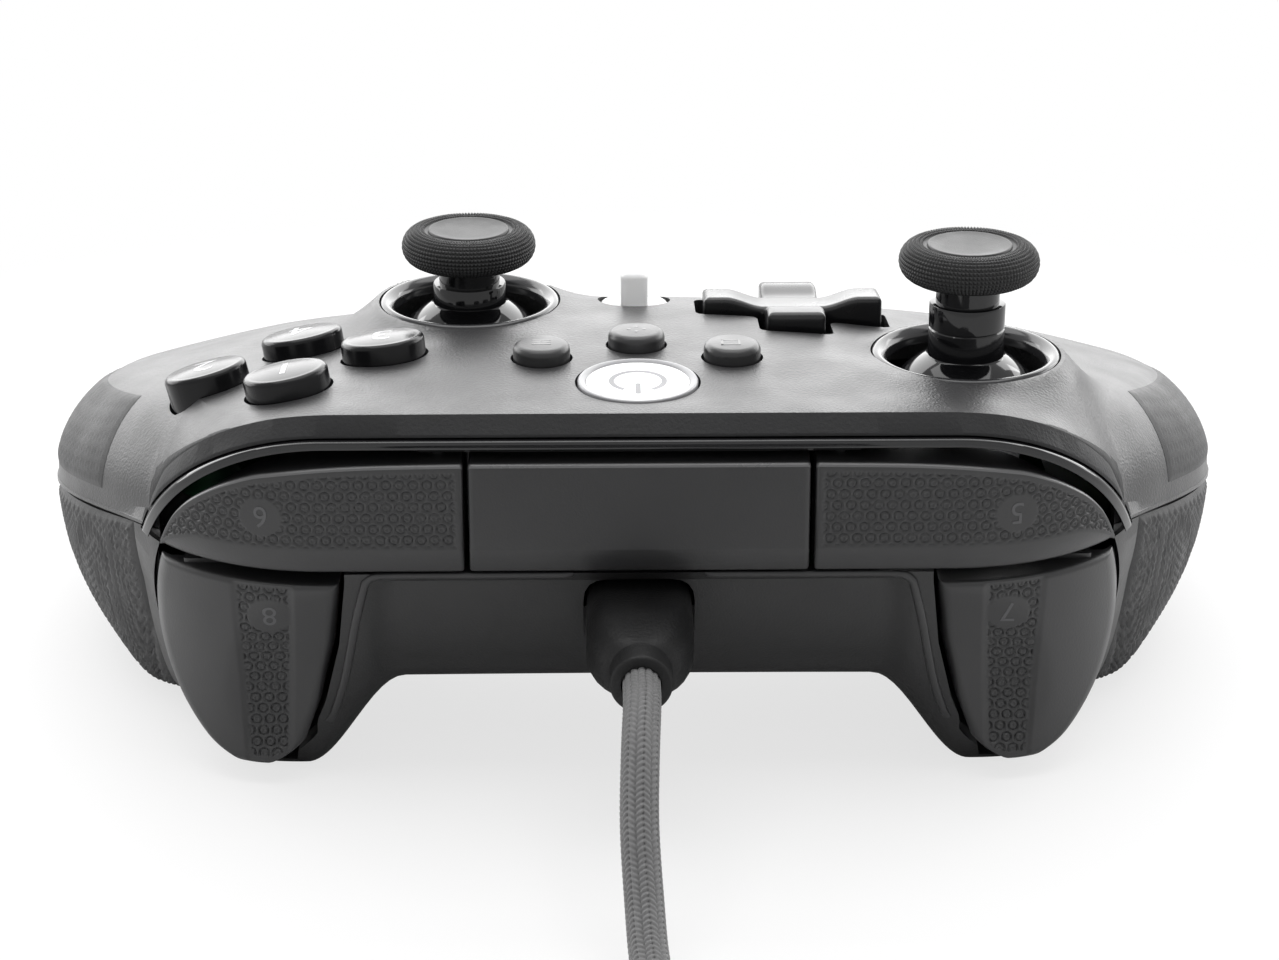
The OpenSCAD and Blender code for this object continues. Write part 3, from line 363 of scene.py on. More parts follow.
def rounded(poly, r, n=5):
    """Outline with its corners rounded."""
    p = np.asarray(poly, float)
    out = []
    for i in range(len(p)):
        a, b, c = p[i - 1], p[i], p[(i + 1) % len(p)]
        u, v = (a - b)/np.linalg.norm(a - b), (c - b)/np.linalg.norm(c - b)
        q = min(r, 0.49*np.linalg.norm(a - b), 0.49*np.linalg.norm(c - b))
        for t in np.linspace(0, 1, n):
            out.append(b + u*q*(1 - t)**2 + v*q*t*t)
    return np.array(out)


def box(w, h):
    return np.array([(-w, -h), (w, -h), (w, h), (-w, h)])/2


def soft_box(w, h, r, n=5, centre=(0, 0)):
    """Rectangle with rounded corners."""
    return rounded(box(w, h), r, n) + np.array(centre, float)


def face_frame(p):
    """Place and lean of a piece that stands square to the bowed face."""
    lean_x = face_at(p[0] - 0.5, p[1]) - face_at(p[0] + 0.5, p[1])
    lean_y = face_at(p[0], p[1] - 0.5) - face_at(p[0], p[1] + 0.5)
    r = Matrix.Rotation(atan(lean_x), 4, "Y") @ Matrix.Rotation(-atan(lean_y), 4, "X")
    return np.array(Matrix.Translation((p[0], at(p[1]), float(face_at(p[0], p[1])))) @ r)


def new_object(name, solid, outward=True):
    me = bpy.data.meshes.new(name)
    me.from_pydata((np.asarray(solid[0])*MM).tolist(), [], solid[1])
    if outward:
        bm = bmesh.new()
        bm.from_mesh(me)
        bmesh.ops.recalc_face_normals(bm, faces=bm.faces)
        bm.to_mesh(me)
        bm.free()
    ob = bpy.data.objects.new(name, me)
    scene.collection.objects.link(ob)
    return ob


def boolean(ob, solids, op="DIFFERENCE"):
    """Cuts the object by closed solids, or joins or keeps what they share."""
    tools = [s if isinstance(s, bpy.types.Object) else new_object("tool", s) for s in solids]
    for t in tools:
        m = ob.modifiers.new("cut", "BOOLEAN")
        m.operation = op
        m.solver = "MANIFOLD"
        m.object = t
    me = bpy.data.meshes.new_from_object(ob.evaluated_get(bpy.context.evaluated_depsgraph_get()))
    ob.modifiers.clear()
    old, ob.data = ob.data, me
    bpy.data.meshes.remove(old)
    for t in tools:
        data = t.data
        bpy.data.objects.remove(t)
        bpy.data.meshes.remove(data)
    return ob


def dress(ob, body, mat, nodes=(), sharp=38):
    """Smooth shading, material, body and the nodes that the piece stands for."""
    me = ob.data
    me.polygons.foreach_set("use_smooth", [True]*len(me.polygons))
    me.set_sharp_from_angle(angle=radians(sharp))
    me.materials.clear()
    me.materials.append(mat)
    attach(ob, body)
    if nodes:
        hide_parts(*nodes)
    return ob


def piece(name, solid, body, mat, nodes=(), sharp=38):
    return dress(new_object(name, solid), body, mat, nodes, sharp)


def glyph(sign, height):
    """Flat mesh of a numeral, centred, as points and triangles, with short edges."""
    cu = bpy.data.curves.new("sign", "FONT")
    cu.body = sign
    cu.size = 1
    cu.resolution_u = 6
    ob = bpy.data.objects.new("sign", cu)
    scene.collection.objects.link(ob)
    me = bpy.data.meshes.new_from_object(ob.evaluated_get(bpy.context.evaluated_depsgraph_get()))
    bm = bmesh.new()
    bm.from_mesh(me)
    bmesh.ops.remove_doubles(bm, verts=bm.verts, dist=1e-5)
    bmesh.ops.triangulate(bm, faces=bm.faces)
    for _ in range(3):
        big = [e for e in bm.edges if e.calc_length() > 0.16]
        bmesh.ops.subdivide_edges(bm, edges=big, cuts=1)
        bmesh.ops.triangulate(bm, faces=bm.faces)
    v = np.array([q.co[:2] for q in bm.verts])
    f = [[q.index for q in t.verts] for t in bm.faces]
    bm.free()
    bpy.data.objects.remove(ob)
    lo, hi = v.min(0), v.max(0)
    return (v - (lo + hi)/2)*height/(hi[1] - lo[1]), f


def inlay(flat, place, depth=0.12):
    """Thin solid from a flat mesh; place(x, y, h) gives the point at height h over the surface."""
    v, f = flat
    top = np.array([place(x, y, 0.0) for x, y in v])
    low = np.array([place(x, y, -depth) for x, y in v])
    n = len(v)
    count = {}
    for t in f:
        for a, b in zip(t, t[1:] + t[:1]):
            count[(a, b)] = 1
    faces = [list(t) for t in f] + [[n + i for i in t[::-1]] for t in f]
    faces += [[b, a, n + a, n + b] for (a, b) in count if (b, a) not in count]
    return np.concatenate([top, low]), faces


# Materials: every one is made of nodes in object space
GRAIN_DEPTH = 0.00007


def node(nt, kind, inputs, **settings):
    """New node; each input gets a value, or a link where it names another node's output."""
    n = nt.nodes.new(kind)
    for key, value in settings.items():
        setattr(n, key, value)
    for key, value in inputs.items():
        if isinstance(value, bpy.types.NodeSocket):
            nt.links.new(value, n.inputs[key])
        else:
            n.inputs[key].default_value = value
    return n


def material(name, color, rough, grain=0.0, grain_size=0.25, spread=0.06, tint=0.12, **sockets):
    """Moulded surface with a fine grain, uneven gloss and slight changes of tone."""
    mat = bpy.data.materials.new(name)
    mat.use_nodes = True
    nt = mat.node_tree
    bsdf = nt.nodes["Principled BSDF"]
    where = node(nt, "ShaderNodeTexCoord", {}).outputs["Object"]

    def noise(scale, detail, roughness=0.5):
        return node(nt, "ShaderNodeTexNoise", {"Scale": scale, "Detail": detail, "Roughness": roughness,
                                               "Vector": where}).outputs["Fac"]

    gloss = node(nt, "ShaderNodeMapRange", {
        "From Min": 0.3, "From Max": 0.7, "To Min": max(0.02, rough - spread),
        "To Max": min(1, rough + spread), "Value": noise(140, 4)})
    nt.links.new(gloss.outputs["Result"], bsdf.inputs["Roughness"])
    c = np.array(color, float)
    tone = node(nt, "ShaderNodeMix", {
        "A": (*(c*(1 - tint)), 1), "B": (*np.minimum(1, c*(1 + tint)), 1), "Factor": noise(60, 6, 0.6)},
        data_type="RGBA")
    nt.links.new(tone.outputs["Result"], bsdf.inputs["Base Color"])
    if grain:
        bump = node(nt, "ShaderNodeBump", {"Strength": grain, "Distance": GRAIN_DEPTH,
                                           "Height": noise(1000/grain_size, 2)})
        nt.links.new(bump.outputs["Normal"], bsdf.inputs["Normal"])
    for key, value in sockets.items():
        bsdf.inputs[key.replace("_", " ")].default_value = value
    return mat


SHELL = material("satin_shell", (0.024, 0.024, 0.025), 0.42, grain=1.0, grain_size=0.35, spread=0.05, IOR=1.6)
BAND = material("grained_band", (0.022, 0.022, 0.023), 0.6, grain=1.0, grain_size=0.45, tint=0.3, IOR=1.36)
# Painted highlight: a lighter colour for the rounded top edge of the bars and panel, standing in for the
# light that catches that edge.
PAINTED_EDGE_HIGHLIGHT = material("painted_edge_highlight", (0.11, 0.11, 0.112), 0.3, spread=0.04, IOR=1.6)
FRONT = material("front_plastic", (0.026, 0.026, 0.027), 0.36, grain=0.25, grain_size=0.3, spread=0.05)
LOWER = material("lower_shell", (0.018, 0.018, 0.0185), 0.46, grain=0.5, grain_size=0.3, spread=0.05)
GLOSS = material("gloss_black", (0.008, 0.008, 0.009), 0.07, spread=0.03, tint=0.2)
BUTTON = material("button_gloss", (0.010, 0.010, 0.011), 0.2, spread=0.04, tint=0.2, IOR=1.3)
PAD = material("pad_satin", (0.010, 0.010, 0.011), 0.28, grain=0.15, spread=0.05)
RUBBER = material("grip_rubber", (0.042, 0.042, 0.043), 0.58, grain=0.6, grain_size=0.15, spread=0.08)
CAPS = material("cap_rubber", (0.016, 0.016, 0.0165), 0.55, grain=0.4, grain_size=0.15, spread=0.08)
RING = material("ring_gloss", (0.030, 0.030, 0.032), 0.14, spread=0.04)
WHITE = material("white_face", (0.86, 0.86, 0.86), 0.35, grain=0.1, spread=0.05, tint=0.015)
RIM = material("home_rim", (0.30, 0.30, 0.31), 0.3, spread=0.05, tint=0.05)
SIGN = material("light_sign", (0.42, 0.42, 0.43), 0.35, spread=0.05, tint=0.05)
DIM_SIGN = material("dim_sign", (0.075, 0.075, 0.078), 0.4, spread=0.05, tint=0.05)
GREY_SIGN = material("sign_grey", (0.2, 0.2, 0.21), 0.4, tint=0.05)
CLEAR = material("frosted_dial", (0.95, 0.95, 0.95), 0.3, spread=0.05, tint=0.02,
                 Transmission_Weight=0.4, IOR=1.42)
PLUG = material("plug_moulding", (0.006, 0.006, 0.0063), 0.5, grain=0.9, grain_size=0.4, spread=0.08,
                Specular_IOR_Level=0.3)
STEEL = material("steel", (0.55, 0.55, 0.56), 0.32, spread=0.08, Metallic=1.0)
BOARD = material("board_green", (0.02, 0.09, 0.04), 0.45, grain=0.2, spread=0.1, tint=0.25)
PALE = material("pale_plastic", (0.62, 0.62, 0.60), 0.45, grain=0.3, spread=0.06, tint=0.05)
TIE = material("tie_rubber", (0.03, 0.03, 0.031), 0.6, grain=0.6, spread=0.08)
BRAID = material("braid", (0.16, 0.16, 0.161), 0.6, grain=0.5, grain_size=0.12, spread=0.08, tint=0.3,
                 Sheen_Weight=0.25, Sheen_Roughness=0.4)

# Cord: straight out of the plug, down to the floor, then put away as a coil beyond the view
CORD_R = CORD_DIA/2
COIL_D, COIL_R, COIL_PITCH, COIL_RISE = -134, 15.8, CORD_DIA + 1.3, CORD_DIA + 0.6
COIL_TURNS, COIL_STEP, COIL_LAYERS, TURN_POINTS = 3.9, 0.5, 4, 24
COIL_OUT = COIL_R + COIL_TURNS*COIL_PITCH
COIL_SWEEP = COIL_LAYERS*COIL_TURNS + (COIL_LAYERS - 1)*COIL_STEP
FAR_PLUG_Z = 3.2
CORD_SIDES, BRAID_TO, BRAID_H, PLAIN_H, RIBS, THREAD_PITCH = 84, 76.0, 0.4, -0.06, 14, 0.72


def coil_point(t):
    """Point of the coil after t turns: flat layers that wind in and out by turns."""
    i = min(COIL_LAYERS - 1, floor(t/(COIL_TURNS + COIL_STEP) + 1e-9))
    q = t - i*(COIL_TURNS + COIL_STEP)
    wound = min(COIL_TURNS, q)*COIL_PITCH
    r = COIL_R + wound if i % 2 else COIL_OUT - wound
    z = CORD_R + COIL_RISE*(i + float(soft(max(0, q - COIL_TURNS)/COIL_STEP)))
    return np.array([r*cos(2*pi*t), at(COIL_D) - r*sin(2*pi*t), z])


def spline(p, m):
    """Smooth curve through all points but the first and last, m steps from each to the next."""
    p = np.asarray(p, float)
    out = []
    for a, b, c, d in zip(p, p[1:], p[2:], p[3:]):
        for t in np.arange(m)/m:
            out.append(0.5*(2*b + (c - a)*t + (2*a - 5*b + 4*c - d)*t*t + (3*b - a - 3*c + d)*t**3))
    return np.array(out + [p[-2]])


coil_start = coil_point(0)
coil_n = ceil(COIL_SWEEP*TURN_POINTS)
coil = [coil_point(COIL_SWEEP*i/coil_n) for i in range(coil_n + 1)]
last = unit(coil[-1] - coil[-2])
drop = coil[-1][2] - CORD_R - FAR_PLUG_Z
tail = [coil[-1] + last*[1, 1, 0]*q*5 - [0, 0, drop*float(soft((q - 2)/6))] for q in range(1, 9)]
knots = [(x, at(NOSE + run), z) for x, run, z in (
    (0, 10, PLUG_Z), (0, 2.8, PLUG_Z), (0, -5, PLUG_Z), (-0.3, -12, PLUG_Z - 2.6), (-0.5, -19, PLUG_Z - 8),
    (-0.1, -26, PLUG_Z - 13.6), (0.5, -34, PLUG_Z - 17.6), (2, -44, CORD_R + 0.4), (7, -56, CORD_R),
    (16, -67, CORD_R), (26, -77, CORD_R), (33.5, -89, CORD_R))]
knots += [coil_start + [0, 2*CORD_DIA + 8, 0], coil_start + [0, 2*CORD_DIA, 0], coil_start]
route = np.array([*spline(knots, 3), coil_start + [0, CORD_DIA, 0], *coil, *tail])


def resample(path, fine_to, fine, coarse):
    """Points along a smooth curve through the path: close together at the start, wider apart later."""
    ext = np.concatenate([[2*path[0] - path[1]], path, [2*path[-1] - path[-2]]])
    dense = spline(ext, 24)
    s = np.concatenate([[0], np.cumsum(np.linalg.norm(np.diff(dense, axis=0), axis=1))])
    t = np.concatenate([np.arange(0, fine_to, fine), np.arange(fine_to, s[-1], coarse), [s[-1]]])
    return np.stack([np.interp(t, s, dense[:, i]) for i in range(3)], 1), t, s[-1]


line, run, cord_length = resample(route, BRAID_TO, 0.12, 1.6)
tangent = np.gradient(line, axis=0)
tangent /= np.linalg.norm(tangent, axis=1)[:, None]
side = np.zeros_like(line)
up = np.array([1.0, 0, 0])
for i, t in enumerate(tangent):
    up = unit(up - t*np.dot(up, t))
    side[i] = up
other = np.cross(tangent, side)
theta = around(CORD_SIDES)
# Herringbone braid: ribs along the cord, each of slanting threads
rib = theta[None, :]*RIBS/(2*pi)
slant = np.where(np.floor(rib) % 2 == 0, 1, -1)*(rib % 1)
thread = np.abs(np.sin(pi*(run[:, None]/THREAD_PITCH + 0.9*slant)))**0.6
height = (np.sin(pi*(rib % 1))**0.4*0.45 + 0.55*thread)*BRAID_H - BRAID_H
radius = CORD_R + np.where(run[:, None] < BRAID_TO, height, PLAIN_H)
tube = (line[:, None, :] + side[:, None, :]*(radius*np.cos(theta))[..., None]
        + other[:, None, :]*(radius*np.sin(theta))[..., None])
cord = piece("braided_cord", loft(tube), "housing", BRAID, ("cord", "cord_coil"), sharp=70)


# Housing
def plan(inset, n=48):
    """Outline of all that lies behind the front curve, set back by an inset, as (x, y)."""
    a = np.linspace(0, pi, n)
    r = CORNER_R - inset
    right = np.stack([FRONT_FLAT + r*np.sin(a), at(CORNER_R) - r*np.cos(a)], 1)
    return two_sided(right)


def arch(r, low, n=48):
    """Front view outline of the arch, as (x, z)."""
    a = np.linspace(0, pi/2, n)
    a = a[CORNER_Z + r*np.sin(a) > low]
    right = np.stack([FRONT_FLAT + r*np.cos(a), CORNER_Z + r*np.sin(a)], 1)
    start = [[FRONT_FLAT + sqrt(r*r - (low - CORNER_Z)**2), low]]
    return two_sided(np.concatenate([start, right]))


def opening(low, depth):
    """What the arch takes out of the shells, for the lip, the bumpers and the panel."""
    ob = new_object("opening", prism(arch(ARCH_R - 0.4, low), -2, 30, "y"))
    boolean(ob, [prism(plan(-3), 10, 60)], "INTERSECT")
    middle = new_object("middle", prism(box(2*BUMPER_END + 1, 140), 8, 62))
    boolean(middle, [prism(plan(depth), 5, 65)])
    groove = new_object("groove", prism(plan(-4), 9, 63))
    boolean(groove, [prism(plan(2.2), 5, 65)])
    return boolean(ob, [boolean(middle, [groove], "UNION")], "INTERSECT")


def cavity():
    steps = np.linspace(0, 1, 9)
    rings = []
    for k in np.linspace(0, K_TIP - 5, 58):
        top = top_section(k, WALL, face_at, 6, 10)
        low = low_section(k, WALL, 0, 6, steps)[1:-1]
        rings.append(np.concatenate([top, low[::-1]]))
    return loft(both_ways(rings))


def hole(p, r):
    """Cutter for a round hole square to the face."""
    return moved(cylinder(r, -9, 8, 96), face_frame(p))


def upright(p, r, z0, z1, n=96):
    return stood(cylinder(r, z0, z1, n), p)


def cross_outline(span, arm, r):
    a, b = span/2, arm/2
    q = [(a, b), (b, b), (b, a), (-b, a), (-b, b), (-a, b),
         (-a, -b), (-b, -b), (-b, -a), (b, -a), (b, -b), (a, -b)]
    return rounded(q[::-1], r, 6)


def top_ring(k, face):
    return top_section(k, 0, face, 16, 56)[::-1]


top_ks = runs((0, K_FRONT, 40), (K_FRONT, K_SIDE, 54), (K_SIDE, K_WIDE, 42), (K_WIDE, K_TIP, 60))
top_rings = [top_ring(k, lambda x, d: flared_face(-x, d))*MIRROR for k in top_ks[:0:-1]]
top_rings += [top_ring(k, flared_face) for k in top_ks]
jack_hole = backwards(cylinder(JACK_R, 0, 14, 64), JACK_D, JACK_Z)
top = new_object("top_housing", loft(top_rings))
cutters = [cavity(), opening(CORNER_Z, LIP_D + WALL + 2.2)]
for p in (LEFT_STICK, RIGHT_STICK):
    cutters.append(upright(p, RING_DIA/2 + 0.1, RING_TOP - RING_H, RING_TOP + 4, 128))
    cutters.append(upright(p, DOME_R + 0.5, 30, RING_TOP, 128))
cutters += [hole(p, FACE_DIA/2 + BUTTON_GAP) for p in BUTTON_AT.values()]
cutters += [hole(p, SMALL_DIA/2 + BUTTON_GAP) for p in (MENU_AT, VIEW_AT, SHARE_AT)]
cutters.append(hole(HOME_AT, HOME_DIA/2 + BUTTON_GAP))
pad_hole = cross_outline(PAD_SPAN + 2.2, PAD_ARM + 2.0, 1.5)
cutters.append(stood(prism(pad_hole, 36, 52), PAD_AT))
cutters.append(hole(DIAL_AT, DIAL_DIA/2 + BUTTON_GAP))
cutters.append(jack_hole)
boolean(top, cutters)
dress(top, "housing", SHELL, ("top_shell",), sharp=21)
top.data.materials.append(BAND)
for f in top.data.polygons:
    c = np.array(f.center)/MM
    inset = CORNER_R - hypot(max(0, abs(c[0]) - FRONT_FLAT), CORNER_R - c[1] - BODY_D/2)
    if 0.8 < inset < 3.6 and c[1] < at(17) and c[2] > 30 and -0.2 < f.normal.z < 0.86:
        f.material_index = 1

# Bottom: the loft with the grip recess, a soft panel between the triggers, trigger wells and screw holes
low_steps = np.concatenate([np.linspace(0, 1/6, 7), [1.1/6], np.linspace(0.24, 1, 22)])
N_LOW = 20
GRIP_J = N_LOW + 7
low_ks = np.round(np.concatenate([
    np.linspace(0, K_SIDE, 84), [K_GRIP - 0.1], np.linspace(K_GRIP, K_GRIP_END, 60), [K_GRIP_END + 0.08],
    np.linspace(K_GRIP_END + 0.3, K_TIP, 24)]), 4)


def low_ring(k):
    """Section of the bottom shell, set back under the grip and hollowed in front between the triggers."""
    a = low_section(k, 0, SEAM_GAP, N_LOW, low_steps)
    if K_GRIP <= k <= K_GRIP_END:
        a[:GRIP_J] = low_section(k, GRIP_T, SEAM_GAP, N_LOW, low_steps)[:GRIP_J]
    front = a[:N_LOW + 4]
    d = front[:, 1] + BODY_D/2
    depth = 1.3*soft((33.6 - np.abs(front[:, 0]))/3.4)
    depth = depth*soft((28.1 - front[:, 2])/0.9)*soft((front[:, 2] - BELLY_Z)/4)
    front[:, 1] += np.where(d < 20, depth, 0)
    return a


def trigger_line(z, grow):
    """Inner and outer edge of a trigger at a height, in front view."""
    t = np.sqrt(np.maximum(0, (TRIGGER_R + grow)**2 - (z - CORNER_Z)**2))
    xi = np.interp(z, [-2, TRIGGER_LOW, 5.8, 10.9, 18.9, TRIGGER_TOP, 40],
                   [44.6, 43.8, 41, 39, 37, 36, 36]) - grow
    return xi, FRONT_FLAT + t


def trigger_outline(s, grow, low, high, foot=0.0, n=60):
    z = np.linspace(low, high, n)
    xi, xo = trigger_line(z, grow + foot*soft((8.5 - z)/4))
    keep = xo > xi + 0.05
    z, xi, xo = z[keep], xi[keep], xo[keep]
    return np.concatenate([np.stack([s*xi, z], 1), np.stack([s*xo, z], 1)[::-1]])


bottom = new_object("bottom_housing", loft(both_ways([low_ring(k) for k in low_ks])))
cutters = [cavity(), opening(BUMPER_Z - 0.5, LIP_D + 2*WALL + 3)]
for s in (-1, 1):
    cutters.append(prism(trigger_outline(s, WELL_GAP, WELL_FLOOR, 34), -2, 18, "y"))
    swing = new_object("swing", prism(trigger_outline(s, 0.58, 0.88, 14, 0.9), -2, 18.2, "y"))
    cutters.append(boolean(swing, [prism(plan(4.2), -5, 60)], "INTERSECT"))
    cutters.append(upright((s*29.5, 12.5), 2.8, 0, 17, 48))
    cutters.append(upright((s*57, 91), 2.8, -1, 4, 48))
cutters.append(prism(soft_box(PLUG_W + 0.6, 10.6, 3, 5, (0, PLUG_Z)), -2, 5.2, "y"))
cutters.append(jack_hole)
cutters.append(prism(box(320, 240), -10, 0))
boolean(bottom, cutters)
dress(bottom, "housing", LOWER, ("bottom_shell",), sharp=32)


def bead(s):
    """Half round bead on the bottom shell, along the top of the low panel and down beside the trigger."""
    turn = [(31.4 + 1.7*sin(a), 26.65 + 1.7*cos(a)) for a in np.linspace(0, radians(76), 9)]
    knots = np.array([(x, 28.35) for x in (8.4, 8.6, 20, 30)] + turn
                     + [(34.2, 22.5), (35.2, 17.5), (36.2, 13), (37.5, 9), (38.2, 7.5)])
    rings = []
    line = resample(level(knots, 0), 10, 0.5, 0.5)[0]
    for i, (x, z, _) in enumerate(line):
        hit, where, n, _ = bottom.ray_cast((s*x*MM, -0.2, z*MM), (0, 1, 0))
        if not hit or where[1]/MM > at(9):
            continue
        n = np.array(n)
        t = line[min(i + 1, len(line) - 1)] - line[max(i - 1, 0)]
        t = np.array([s*t[0], 0, t[1]])/np.hypot(t[0], t[1])
        across = np.cross(n, t)
        across /= np.linalg.norm(across)
        b = np.linspace(0, 2*pi, 16, endpoint=False)
        end = 0.3 + 0.7*float(soft(min(i, len(line) - 1 - i)/4))
        rings.append(np.array(where)/MM + across*0.55*np.cos(b)[:, None] + n*(0.42*end*np.sin(b))[:, None])
    return loft(rings)


bpy.context.view_layer.update()
for s, name in HANDS:
    piece(name + "_panel_bead", bead(s), "housing", FRONT, sharp=60)


# Rubber grips with a diamond knurl, and the narrow strip above the seam on each handle
def knurl(u, v, pitch, high):
    a, b = (u + v*1.6)/pitch, (u - v*1.6)/pitch
    tri = lambda t: np.abs((t % 1)*2 - 1)
    return high*np.minimum(np.minimum(tri(a), tri(b))*2.2, 1)


def relief(g, axis):
    """Normals of a grid of points, outward along an axis, runs both ways and distance to the border."""
    n = np.cross(np.gradient(g, axis=0), np.gradient(g, axis=1))
    n = n/np.maximum(1e-9, np.linalg.norm(n, axis=2))[..., None]
    if n[..., axis].mean() < 0:
        n = -n
    u, v = (np.insert(np.cumsum(np.linalg.norm(np.diff(g, axis=i), axis=2), i), 0, 0, i) for i in (0, 1))
    u = u.mean(1)[:, None] + 0*u
    rim = np.minimum(np.minimum(u, u.max() - u), np.minimum(v, v.max(1, keepdims=True) - v))
    return n, u, v, rim


def grip_patch():
    steps = np.linspace(0, 1/6, 26)
    ks = np.linspace(K_GRIP + 0.03, K_GRIP_END - 0.02, 270)
    a = np.array([low_section(k, 0, SEAM_GAP, 60, steps)[1:86] for k in ks])
    b = np.array([low_section(k, GRIP_T - 0.25, SEAM_GAP, 60, steps)[1:86] for k in ks])
    n, u, v, rim = relief(a, 0)
    h = knurl(u, v, 1.9, 0.34)*soft((rim - 0.5)/0.5) - 0.34 - 0.3*(1 - soft(rim/0.5))
    a = a + n*h[..., None]
    a[..., 2] = np.maximum(a[..., 2], 0)
    return sheet_solid(a, b)


def strip_patch():
    a = np.array([top_section(k, 0, face_at, 40, 30)[6:36] for k in np.linspace(11.6, 20.5, 240)])
    n, u, v, rim = relief(a, 2)
    h = 0.02 + 0.1*soft(rim/0.4) + knurl(u, v, 1.9, 0.14)*soft((rim - 0.5)/0.5)
    return sheet_solid(a + n*h[..., None], a - n*0.4)


left_patch, left_strip = grip_patch(), strip_patch()
for s, name in HANDS:
    turn = np.diag([s, 1.0, 1.0, 1.0])
    piece(name + "_grip_rubber", moved(left_patch, turn), "housing", RUBBER, (name + "_grip",),
          sharp=60)
    piece(name + "_handle_strip", moved(left_strip, turn), "housing", RUBBER, sharp=60)


# Bumpers, panel and triggers
def front_point(u, inset):
    """Plan point on the front curve, u along it from the middle."""
    a = np.maximum(0, np.abs(u) - FRONT_FLAT)/CORNER_R
    r = CORNER_R - inset
    return np.where(a > 0, np.sign(u)*(FRONT_FLAT + r*np.sin(a)), u), CORNER_R - r*np.cos(a)


OUTLINE_X = np.array([20.9, 31, 37.6, 45, 49.3, 53.5, 56.2, 57.8, 58.5])
OUTLINE_Z = BUMPER_TOP - np.array([0, 0.15, 0.45, 1.5, 3.1, 5.7, 8.5, 11.4, 13.4])


def smooth_through(xs, zs, x):
    """Monotone cubic through points."""
    h, m = np.diff(xs), np.diff(zs)/np.diff(xs)
    t = np.concatenate([[m[0]], 2*m[1:]*m[:-1]/(m[1:] + m[:-1] + 1e-12), [m[-1]]])
    i = np.clip(np.searchsorted(xs, x) - 1, 0, len(h) - 1)
    q = (x - xs[i])/h[i]
    return (zs[i]*(2*q**3 - 3*q*q + 1) + h[i]*t[i]*(q**3 - 2*q*q + q)
            + zs[i + 1]*(3*q*q - 2*q**3) + h[i]*t[i + 1]*(q**3 - q*q))


def pips(u, v, pitch=1.62):
    """Small engraved rings on a hexagonal net, as a depth from 0 to 1."""
    row = np.floor(v/(pitch*0.866) + 0.5)
    best = np.full(u.shape, 9.0)
    for j in (-1, 0, 1):
        r = row + j
        c = (np.floor(u/pitch - 0.5*(r % 2) + 0.5) + 0.5*(r % 2))*pitch
        best = np.minimum(best, np.hypot(u - c, v - r*pitch*0.866))
    return np.exp(-((best - 0.56)/0.14)**2) + 0.8*np.exp(-(best/0.2)**2)


# The last count is the rows of the rounded top edge that get the painted highlight.
N_LOW_EDGE, N_FACE, N_ROUND, N_TOP, N_HIGHLIGHTED = 6, 80, 8, 3, 5


def bar_rings(us, tops, shrinks, clear=None):
    """Rings of a bar that follows the front curve: crease, face, rounded top edge and flat back.

    A bar with a clear place for its numeral is textured, and hollow behind its outer part."""
    rings = []
    for u, zt, shrink in zip(us, tops, shrinks):
        out = abs(float(u))
        zb = BUMPER_Z + 0.04 + shrink
        zt = zt - 0.05 - shrink
        room = zt - zb
        zc = zb + min(3.1, 0.36*room)
        r = min(0.7, 0.3*room)
        roof = max(zb + 0.04, zt - 1.9) if clear and out > 29 else zb + 0.04
        fz = np.linspace(zc, zt - r, N_FACE)
        fi = np.full(N_FACE, 0.06 + shrink)
        if clear:
            edge = np.minimum(np.minimum(fz - zc - 0.3, zt - 1.1 - fz), min(out - 21.7, 63 - out))
            off = np.hypot((out - clear[0])/clear[2], (fz - clear[1])/clear[3])
            fi = fi + 0.2*(soft(edge/0.35)*soft((off - 1)/0.12))*pips(np.full(N_FACE, out), fz)
        a = np.linspace(0, pi/2, N_ROUND + 1)[1:]
        z = np.concatenate([[roof, roof - 0.02, zb, zb, zb + 0.12, zb + 0.4], fz,
                            zt - r + r*0.8*np.sin(a), [zt - 0.12*r, zt, zt]])
        inset = np.concatenate([[BUMPER_D - 0.5, 2.2, 2.15, 1.35, 0.95, 0.72], fi,
                                0.06 + shrink + r*(1 - np.cos(a)), [2.6, 4.4, BUMPER_D - 0.5]])
        rings.append(spot(*front_point(u, inset), z))
    return rings


def polish(ob):
    """Paints a highlight on the rounded upper edge of a bar: its first rows get a brighter material in place
    of the light that the rounding catches.
    """
    ob.data.materials.append(PAINTED_EDGE_HIGHLIGHT)
    first, ring = N_LOW_EDGE + N_FACE, N_LOW_EDGE + N_FACE + N_ROUND + N_TOP
    for f in ob.data.polygons:
        if len(f.vertices) == 4 and first <= f.index % ring < first + N_HIGHLIGHTED:
            f.material_index = 1


BUMPER_NUMERAL = (45.2, 36.4, 2.6, 2.3)


def bumper(s):
    end = FRONT_FLAT + CORNER_R*asin((BUMPER_END - FRONT_FLAT)/CORNER_R)
    us = np.concatenate([[20.92, 20.98, 21.1, 21.3], np.arange(21.45, end, 0.15), [end]])
    shrink = np.concatenate([[0.38, 0.2, 0.07, 0], np.zeros(len(us) - 4)])
    shrink[-1] = 0.1
    x, _ = front_point(us, np.zeros(len(us)))
    tops = np.maximum(smooth_through(OUTLINE_X, OUTLINE_Z, x), BUMPER_Z + 0.7)
    return loft(bar_rings(s*us, tops, shrink, BUMPER_NUMERAL))


def panel():
    us = np.concatenate([[-20.28, -20.22, -20.1, -19.9], np.linspace(-19.6, 19.6, 40),
                         [19.9, 20.1, 20.22, 20.28]])
    shrink = np.concatenate([[0.4, 0.2, 0.07, 0], np.zeros(40), [0, 0.07, 0.2, 0.4]])
    return loft(bar_rings(us, np.full(len(us), BUMPER_TOP), shrink))


